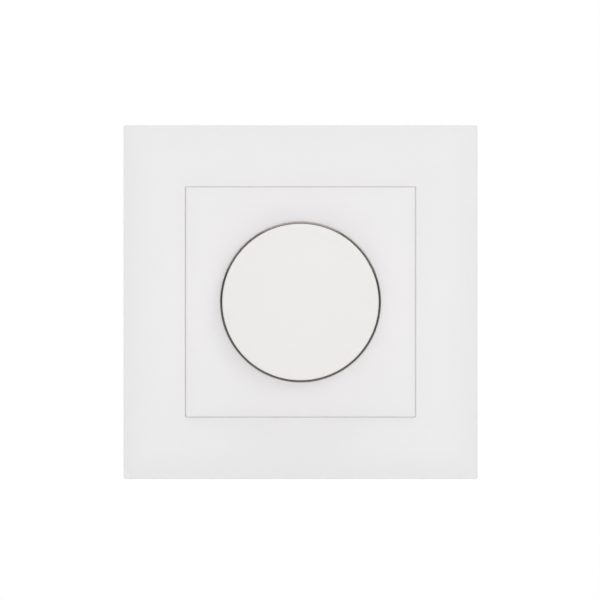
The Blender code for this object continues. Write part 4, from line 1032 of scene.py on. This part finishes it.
def makeScrews():
    onPlate = cadSize("pot_nut")["rear"]
    box = cadSize("housing_screw_right")
    shape = slottedScrew(reach=onPlate - box["rear"], dome=0.5, **screws["housing"])
    x, y = middleOf(box)[:2]
    pair = repeated(shape, "zinc", 2, (-x, y, onPlate), (2 * x, 0, 0))
    finishPiece("housingScrews", pair, "zinc", ["housing_screw_left", "housing_screw_right"])
    for word in ("left", "right"):
        box = cadSize(f"claw_screw_{word}")
        shape = slottedScrew(reach=onPlate - box["rear"], dome=0.4, **screws["claw"])
        shape = moved(shape, (middleOf(box)[0], 0, onPlate))
        finishPiece(f"clawScrew_{word}", shape, "zinc", [f"claw_screw_{word}"])
    for number in (1, 2, 3):
        box = cadSize(f"terminal_screw_{number}")
        headTop = box["rear"] + screws["terminal"]["headHeight"]
        shape = slottedScrew(reach=box["front"] - headTop, dome=0.2, **screws["terminal"])
        shape = moved(shape, (*middleOf(box)[:2], headTop), (turn / 2, "X"))
        finishPiece(f"terminalScrew_{number}", shape, "zinc", [f"terminal_screw_{number}"])
    box = cadSize("triac_screw")
    headFoot = box["rear"] + screws["triac"]["headHeight"]
    shape = slottedScrew(reach=box["front"] - headFoot, dome=0.3, **screws["triac"])
    shape = moved(shape, (*middleOf(box)[:2], headFoot), (turn / 2, "X"))
    finishPiece("triacScrew", shape, "zinc", ["triac_screw"])


makePlateFixing()
makeScrews()
print("fixings made")


# potentiometer and push switch

controlSizes = {"cupWall": 1.5, "cupFloor": 1.0, "cupPlay": 0.3, "wire": 0.15, "turns": 4.0}


def makePotentiometer():
    size = controlSizes
    cup = cadSize("pot_body")
    radius = cup["right"]
    inside = radius - size["cupWall"]
    hole = hubSizes["shaft"] + size["cupPlay"]
    floor = cup["rear"] + size["cupFloor"]
    profile = [
        (radius, cup["front"]), (radius, cup["rear"]), (hole, cup["rear"]), (hole, floor),
        (inside, floor), (inside, cup["front"]),
    ]
    shape = turned(filleted(profile, [0.15, 0.5, 0.2, 0.1, 0.3, 0.15], 4, closed=True), 96)
    finishPiece("controlCup", shape, "brown", ["pot_body"])
    copyPiece("controlTrack", "resistor_track", "carbon", 0.1)
    copyPiece("wiperDisc", "wiper_rotor", "black", 0.12)
    copyPiece("wiperContact", "wiper_spring", "spring", 0.04, 1)


def makePushSwitch():
    copyPiece("switchCase", "switch_body", "black", 0.25, 3)
    box = cadSize("switch_plunger")
    radius = box["right"]
    top = box["front"]
    profile = [
        (0, top), (0.55 * radius, top - 0.05), (radius, top - 0.35), (radius, box["rear"]), (0, box["rear"]),
    ]
    shape = turned(filleted(profile, [0, 0.6, 0.2, 0.15, 0]), 56)
    finishPiece("switchButton", shape, "grey", ["switch_plunger"])

    spring = cadSize("push_spring")
    wire = controlSizes["wire"]
    low = spring["rear"] + wire
    high = spring["front"] - wire
    shape = wound("spring", spring["right"] - wire, wire, low, high, controlSizes["turns"], 48, 10)
    piece = finishPiece("returnSpring", shape, "spring", ["push_spring"])
    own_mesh(piece)


makePotentiometer()
makePushSwitch()
print("control made")


# circuit board and what stands on it

boardSizes = {
    "bend": 1.2, "trackWidth": 1.3, "trackThickness": 0.1, "trackSink": 0.03,
    "tracks": [
        [(-8.5, -13.4), (-10.5, -10.5), (-14.2, -7.5)],
        [(-3.0, -14.3), (-3.0, -10.0), (-5.0, -7.5), (-5.0, -5.0)],
        [(3.0, -14.3), (5.5, -16.5), (9.5, -16.5)],
        [(0.0, -13.4), (0.0, -8.0), (5.0, -5.0), (5.0, 5.0)],
        [(8.5, -13.4), (11.0, -8.0), (15.0, -5.6)],
        [(15.0, -2.4), (15.0, 6.0), (7.0, 9.0), (7.0, 15.0)],
        [(-7.0, 15.0), (-7.0, 10.0), (-5.0, 5.0)],
        [(-5.0, -5.0), (-9.0, 0.0), (-9.0, 12.0), (-14.2, 12.0), (-14.2, 7.5)],
    ],
    "joints": [
        (-8.5, -13.4), (0.0, -13.4), (8.5, -13.4), (-14.2, 7.5), (-14.2, -7.5), (-3.0, -14.3), (3.0, -14.3),
        (9.5, -16.5), (9.5, -19.04), (5.0, 5.0), (5.0, -5.0), (-5.0, 5.0), (-5.0, -5.0),
        (15.0, -5.6), (15.0, -2.4), (7.0, 15.0), (-7.0, 15.0),
    ],
}


def makeBoard():
    size = boardSizes
    board = cadSize("circuit_board")
    copyPiece("circuitBoard", "circuit_board", "board", 0.12)
    rear = board["rear"]
    paths = pointPaths([[(x, y, rear - size["trackSink"]) for x, y in path] for path in size["tracks"]])
    values = {"Width": size["trackWidth"], "Thickness": size["trackThickness"], "Bend": size["bend"]}
    finishPiece("boardTracks", grown(traces, values, finishes["track"], paths), "track", [], "insert")

    places = pointPaths([[(x, y, 0)] for x, y in size["joints"]])
    values = {"Lead": 0.35, "LeadLength": 1.5, "Pad": 0.95, "Height": 0.6, "Seed": 7}
    shape = moved(grown(solder, values, finishes["tin"], places), (0, 0, -rear), (turn / 2, "X"))
    shape.transform(Matrix.Scale(-1, 4, (0, 1, 0)))
    shape.flip_normals()
    shape.transform(Matrix.Translation((0, 0, 2 * rear)))
    finishPiece("solderJoints", shape, "tin", [], "insert")


chokeSizes = {
    "bore": 3.5, "inner": 2.4, "outer": 7.2, "wire": 0.25, "loops": 28, "corner": 1.1,
    "sweep": math.radians(325), "start": math.radians(-72),
}


def makeChoke():
    size = chokeSizes
    outside = cadSize("choke_winding")
    core = cadSize("choke_core")
    y = middleOf(core)[1]
    radius = core["right"]
    bore = size["bore"]
    profile = [(radius, core["front"]), (radius, core["rear"]), (bore, core["rear"]), (bore, core["front"])]
    ring = moved(turned(filleted(profile, 0.5, 5, closed=True), 96), (0, y, 0))
    finishPiece("chokeCore", ring, "ferrite", ["choke_core"])
    wire = size["wire"]
    inner = size["inner"] + wire
    outer = size["outer"] - wire
    low = outside["rear"] + wire
    high = outside["front"] - wire
    values = {
        "Loops": size["loops"], "Sweep": size["sweep"], "Start": size["start"], "Middle": (inner + outer) / 2,
        "Width": outer - inner, "Height": high - low, "Corner": size["corner"], "Wire": wire,
    }
    loops = moved(grown(winding, values, finishes["copper"]), (0, y, (low + high) / 2))
    finishPiece("chokeWinding", loops, "copper", ["choke_winding"])


canSizes = {"lip": 0.9, "groove": 1.5, "grooveDepth": 0.45, "lidDrop": 0.12, "lidDepth": 1.0, "vent": 0.18}


def makeCapacitors():
    size = canSizes
    copyPiece("filmCapacitor", "film_capacitor", "yellow", 0.45, 4)
    can = cadSize("timing_capacitor")
    place = (*middleOf(can)[:2], 0)
    radius = can["right"] - place[0]
    low = can["rear"]
    top = can["front"]
    groove = low + size["groove"]
    lip = radius - size["lip"]
    sleeve = [
        (lip, top - 0.02), (radius - 0.3, top), (radius, top - 0.4), (radius, groove + 0.6),
        (radius - size["grooveDepth"], groove), (radius, groove - 0.6), (radius, low + 0.1),
        (radius - 0.3, low), (lip, low), (lip, low + 0.3), (lip, top - 0.3),
    ]
    radii = [0.05, 0.15, 0.25, 0.3, 0.35, 0.3, 0.1, 0.1, 0.05, 0, 0]
    shape = turned(filleted(sleeve, radii, 4, closed=True), 72)
    finishPiece("timingCapacitorSleeve", moved(shape, place), "blue", ["timing_capacitor"])
    lidEdge = lip - 0.05
    lidTop = top - size["lidDrop"]
    lidFoot = top - size["lidDepth"]
    lid = [(0, lidTop), (lidEdge, lidTop), (lidEdge, lidFoot), (0, lidFoot)]
    lid = turned(filleted(lid, [0, 0.08, 0, 0]), 56)
    arm = radius - 1.7
    ventHalf = size["vent"] / 2
    bars = []
    for angle in (0, turn / 3, 2 * turn / 3):
        bar = block((-0.05, -ventHalf, top - 0.22), (arm, ventHalf, top + 0.3))
        bars.append(moved(bar, (0, 0, 0), (angle, "Z")))
    lid = combined(lid, "DIFFERENCE", *bars)
    finishPiece("timingCapacitorLid", moved(lid, place), "tin", [], "insert")


triacSizes = {"tab": 1.3, "leg": 0.8, "pitch": 2.54, "hole": 1.6, "body": 9.0, "depth": 4.5, "legReach": 2.4}


def makeTriac():
    size = triacSizes
    box = cadSize("triac")
    top = box["front"]
    low = top - size["depth"]
    bodyRight = box["right"] - size["legReach"]
    bodyLeft = bodyRight - size["body"]
    body = block((bodyLeft, box["low"], low), (bodyRight, box["high"], top))
    finishPiece("triacBody", softened(body, 0.35, 3), "black", ["triac"])
    tab = block((box["left"], box["low"], top - size["tab"]), (bodyLeft + 0.3, box["high"], top))
    x, y = middleOf(cadSize("triac_screw"))[:2]
    hole = extruded(circle(size["hole"], 40, (x, y)), low - 1, top + 1)
    tab = softened(combined(tab, "DIFFERENCE", hole), 0.12, 2)
    finishPiece("triacTab", tab, "tin", [], "insert")
    half = size["leg"] / 2
    middle = (low + top) / 2
    foot = cadSize("circuit_board")["front"]
    right = box["right"]
    start = bodyRight - half
    bent = [
        (start, middle - half), (right - 2 * half, middle - half), (right - 2 * half, foot),
        (right, foot), (right, middle + half), (start, middle + half),
    ]
    bent = filleted(bent, [0, 0.3, 0, 0, 0.9, 0], 5)
    leg = softened(extruded(bent, -half, half, "Y"), 0.08, 1)
    legs = repeated(leg, "tin", 3, (0, y - size["pitch"], 0), (0, size["pitch"], 0))
    finishPiece("triacLegs", legs, "tin", [], "insert")


fuseSizes = {"glassWall": 0.45, "capWall": 0.35, "coil": 0.28, "wire": 0.07, "turns": 26.0, "coilInset": 0.5}


def makeFuse():
    size = fuseSizes
    tube = cadSize("fuse_tube")
    x, z = middleOf(tube)[::2]
    radius = tube["right"] - x
    inner = radius - size["glassWall"]
    profile = [(radius, tube["high"]), (radius, tube["low"]), (inner, tube["low"]), (inner, tube["high"])]
    shape = turned(filleted(profile, 0.15, 3, closed=True), 56)
    finishPiece("fuseTube", moved(shape, (x, 0, z), (-turn / 4, "X")), "glass", ["fuse_tube"])
    for word, side in (("top", 1), ("bottom", -1)):
        cap = cadSize(f"fuse_cap_{word}")
        outer = cap["right"] - x
        end = max(abs(cap["low"]), abs(cap["high"]))
        start = min(abs(cap["low"]), abs(cap["high"]))
        inner = outer - size["capWall"]
        under = end - size["capWall"]
        profile = [(0, end), (outer, end), (outer, start), (inner, start), (inner, under), (0, under)]
        shape = turned(filleted(profile, [0, 0.35, 0.1, 0.1, 0.2, 0], 4), 56)
        shape = moved(shape, (x, 0, z), (-side * turn / 4, "X"))
        finishPiece(f"fuseCap_{word}", shape, "tin", [f"fuse_cap_{word}"])
        copyPiece(f"fuseClip_{word}", f"fuse_clip_{word}", "brass", 0.12)
    reach = tube["high"] - size["coilInset"]
    wire = wound("tin", size["coil"], size["wire"], -reach, reach, size["turns"], 12, 6)
    finishPiece("fuseElement", moved(wire, (x, 0, z), (-turn / 4, "X")), "tin", [], "insert")


makeBoard()
makeChoke()
makeCapacitors()
makeTriac()
makeFuse()
print("board made")


# rear: support plate, insulating cover, housing, terminals, claws

rearEdges = {"plate": 0.18, "cover": 0.35, "cage": 0.25, "bar": 0.12, "claw": 0.16, "pin": 0.12}


def makeSupport():
    copyPiece("supportPlate", "support_plate", "zinc", rearEdges["plate"])
    copyPiece("insulatingCover", "insulating_cover", "brown", rearEdges["cover"], 3)


housing = {
    "radius": 26.5, "halfWidth": 21.5, "wall": 1.5, "corner": 1.5, "draft": 0.2, "heel": 0.9, "rimStep": 0.15,
    "rim": 2.6, "bossRadius": 3.0, "bossBore": 1.3, "bossDepth": 10.0, "partition": 1.2, "pitch": 8.5,
    "earReach": 1.7, "earGap": 0.4, "earThickness": 2.0, "pinHole": 0.9,
    "headHole": 3.2, "entryWidth": 5.0, "entryHeight": 4.6, "entryCorner": 0.8, "chamfer": 0.35,
    "panelX": 13.0, "panelY": 7.5, "panelCentre": 3.5, "panelDepth": 0.25, "panelCorner": 1.5,
    "ejector": 1.5, "ejectorDepth": 0.12, "ejectorX": 15.5, "ejectorHigh": 15.0, "ejectorLow": -8.0,
    "sink": 0.2,
}


def housingOutline(inset, bottom):
    size = housing
    radius = size["radius"] - inset
    side = math.acos((size["halfWidth"] - inset) / radius)
    foot = math.asin((bottom - inset) / radius)
    points = arc(radius, side, turn / 2 - side, 40)
    points += arc(radius, turn / 2 + side, turn / 2 + foot, 8)
    points += arc(radius, turn - foot, turn - side, 8)
    corners = (0, 40, 41, 49, 50, 58)        # the ends of the three arcs
    radii = [size["corner"] if i in corners else 0 for i in range(len(points))]
    return filleted(points, radii, 5, closed=True)


def housingPrism(section, bottom):
    return lofted([[(x, y, z) for x, y in housingOutline(inset, bottom)] for inset, z in section])


def flaredHole(radius, low, high, flare):
    profile = [(0, low - 1), (radius + flare + 1, low - 1), (radius, low + flare), (radius, high), (0, high)]
    return turned(profile, 48)


def makeHousing():
    size = housing
    box = cadSize("base_housing")
    rear = box["rear"]
    rim = box["front"]
    bottom = -box["low"]
    floor = rear + size["wall"]
    heel = size["heel"]
    draft = size["rimStep"] + size["draft"]
    rimFoot = rim - size["rim"]
    outside = [(0.15, rim), (0, rim - 0.15), (0, rimFoot), (size["rimStep"], rimFoot - 0.1)]
    for i in range(7):
        angle = turn / 4 * i / 6
        outside.append((draft + heel * (1 - math.cos(angle)), rear + heel * (1 - math.sin(angle))))
    inside = [(size["wall"], rim + 1), (size["wall"], floor + 0.6), (size["wall"] + 0.6, floor)]
    shape = combined(housingPrism(outside, bottom), "DIFFERENCE", housingPrism(inside, bottom))

    bossX, bossY = middleOf(cadSize("housing_screw_right"))[:2]
    bossTop = rim - 0.3
    pinX, pinZ = middleOf(cadSize("claw_pin_right"))[::2]
    near = cadSize("claw_right")["high"] + size["earGap"]
    far = near + size["earThickness"]
    board = cadSize("circuit_board")["rear"]
    bar = cadSize("terminal_bar_1")
    added = []
    sunk = floor - size["sink"]
    radius = size["bossRadius"]
    for side in (-1, 1):
        boss = [(0, sunk), (radius, sunk), (radius, bossTop), (0, bossTop)]
        boss = turned(filleted(boss, [0, 0, 0.25, 0]), 40)
        added.append(moved(boss, (side * bossX, bossY, 0)))
        middle = side * size["pitch"] / 2
        half = size["partition"] / 2
        low = (middle - half, -bottom + size["wall"] - size["sink"], sunk)
        added.append(softened(block(low, (middle + half, bar["high"] + 0.6, board - 0.3)), 0.15))
        xs = sorted((side * (size["halfWidth"] - 0.4), side * (pinX + size["earReach"])))
        for ys in ((near, far), (-far, -near)):
            low = (xs[0], ys[0], pinZ - size["earReach"])
            added.append(softened(block(low, (xs[1], ys[1], pinZ + size["earReach"])), 0.3, 3))
    shape = combined(shape, "UNION", joined(*added))

    terminalY = middleOf(cadSize("terminal_screw_2"))[1]
    entryZ = (bar["rear"] + cadSize("terminal_cage_2")["front"]) / 2        # bar and cage are equally thick
    markRadius = size["ejector"]
    markDepth = size["ejectorDepth"]
    cuts = []
    for side in (-1, 1):
        bore = extruded(circle(size["bossBore"], 32), -size["bossDepth"], bossTop + 1)
        cuts.append(moved(bore, (side * bossX, bossY, 0)))
        hole = circle(size["pinHole"], 32, (side * pinX, pinZ))
        cuts.append(extruded(hole, -far - 1, far + 1, "Y"))
        for y in (size["ejectorHigh"], size["ejectorLow"]):
            mark = turned([(0, -1), (markRadius, -1), (markRadius, markDepth), (0, markDepth)], 32)
            cuts.append(moved(mark, (side * size["ejectorX"], y, rear)))
    entryX = size["entryWidth"] / 2
    entryY = size["entryHeight"] / 2
    for number in (-1, 0, 1):
        x = number * size["pitch"]
        well = flaredHole(size["headHole"], 0, size["wall"] + 1, size["chamfer"])
        cuts.append(moved(well, (x, terminalY, rear)))
        entry = roundedRectangle(entryX, entryY, size["entryCorner"], 5, (x, entryZ))
        cuts.append(extruded(entry, -bottom - 1, -bottom + size["wall"] + 1, "Y"))
    panel = []
    for grow, z in ((0.0, size["panelDepth"]), (0.2, 0.0), (0.7, -0.5)):
        outline = roundedRectangle(
            size["panelX"] / 2 + grow, size["panelY"] / 2 + grow, size["panelCorner"] + grow, 6,
            (0, size["panelCentre"])
        )
        panel.append([(x, y, rear + z) for x, y in outline])
    cuts.append(lofted(panel))
    shape = combined(shape, "DIFFERENCE", joined(*cuts))
    finishPiece("baseHousing", shape, "grey", ["base_housing"])


def makeTerminals():
    for number in (1, 2, 3):
        copyPiece(f"terminalCage_{number}", f"terminal_cage_{number}", "zinc", rearEdges["cage"], 3)
        copyPiece(f"terminalBar_{number}", f"terminal_bar_{number}", "brass", rearEdges["bar"])


def makeClaws():
    for word in ("left", "right"):
        copyPiece(f"spreadClaw_{word}", f"claw_{word}", "zinc", rearEdges["claw"])
        copyPiece(f"clawPin_{word}", f"claw_pin_{word}", "spring", rearEdges["pin"])


makeSupport()
makeHousing()
makeTerminals()
makeClaws()
print("rear made")


# studio: pale floor, soft lights, camera

studio = {
    "floorHeight": -1.6, "floorHalf": 30.0, "floorColour": "#f3f3f1",
    "sky": [(0.0, "#d0d1d2"), (0.14, "#909193"), (0.52, "#8b8c8e"), (0.7, "#ffffff")],
    "lens": 379.0, "cameraPlace": (-0.00012, -1.51, 0.000475),
    "softboxes": [        # name, place and size in metres, watts
        ("frontFlash", (0.002, -1.7, -0.01), 0.1, 9.1),
        ("keySoftbox", (0.3, -1.4, 0.26), 0.35, 1.1),
        ("lowSoftbox", (-0.05, -1.25, -0.65), 0.5, 0.8),
        ("topSoftbox", (0.06, -0.12, 0.9), 0.9, 3.3),
        ("leftShoulderSoftbox", (-0.66, -0.1, 0.62), 0.6, 0.5),
        ("rightShoulderSoftbox", (0.7, -0.1, 0.6), 0.6, 0.45),
        ("rearSoftbox", (-0.7, 0.9, 0.6), 0.6, 3.0),
    ],
}


def makeFloor():
    half = studio["floorHalf"]
    mesh = extruded(roundedRectangle(half, half, 1, 8), -0.05, 0)
    mesh.transform(Matrix.Translation((0, 0, studio["floorHeight"])))
    base = startMaterial("pouredPaleFloor", "floor", studio["floorColour"], 0.7)
    addMottle(base, 400, "#f4f4f2", "#f1f1ef")
    mesh.materials.append(base["material"])
    floor = bpy.data.objects.new("studioFloor", mesh)
    bpy.context.scene.collection.objects.link(floor)


def addSoftbox(name, place, size, watts):
    light = bpy.data.lights.new(name, "AREA")
    light.shape = "SQUARE"
    light.size = size
    light.energy = watts
    item = bpy.data.objects.new(name, light)
    item.location = place
    item.rotation_euler = (-Vector(place)).to_track_quat("-Z", "Y").to_euler()
    bpy.context.scene.collection.objects.link(item)


def makeLight():
    for softbox in studio["softboxes"]:
        addSoftbox(*softbox)
    world = bpy.data.worlds.new("studioWorld")
    world.use_nodes = True
    tree = world.node_tree
    tree.nodes.clear()
    place = addNode(tree, "ShaderNodeTexCoord").outputs["Generated"]
    axes = addNode(tree, "ShaderNodeSeparateXYZ", links={0: place})
    share = addNode(tree, "ShaderNodeMapRange", {"From Min": -1, "From Max": 1}, {"Value": axes.outputs["Y"]})
    tone = addNode(tree, "ShaderNodeValToRGB", links={"Fac": share.outputs[0]})
    stops = tone.color_ramp.elements
    while len(stops) < len(studio["sky"]):
        stops.new(0.5)
    for stop, (position, colour) in zip(stops, studio["sky"]):
        stop.position = position
        stop.color = hexColour(colour)
    shade = addNode(tree, "ShaderNodeBackground", links={"Color": tone.outputs[0]})
    addNode(tree, "ShaderNodeOutputWorld", links={"Surface": shade.outputs[0]})
    bpy.context.scene.world = world
    bpy.context.scene.view_settings.view_transform = "Standard"


def makeCamera():
    camera = bpy.data.cameras.new("camera")
    camera.lens = studio["lens"]
    camera.clip_end = 20
    item = bpy.data.objects.new("camera", camera)
    item.location = studio["cameraPlace"]
    item.rotation_euler = (turn / 4, 0, 0)
    bpy.context.scene.collection.objects.link(item)
    bpy.context.scene.camera = item


makeFloor()
makeLight()
makeCamera()
print("studio made")
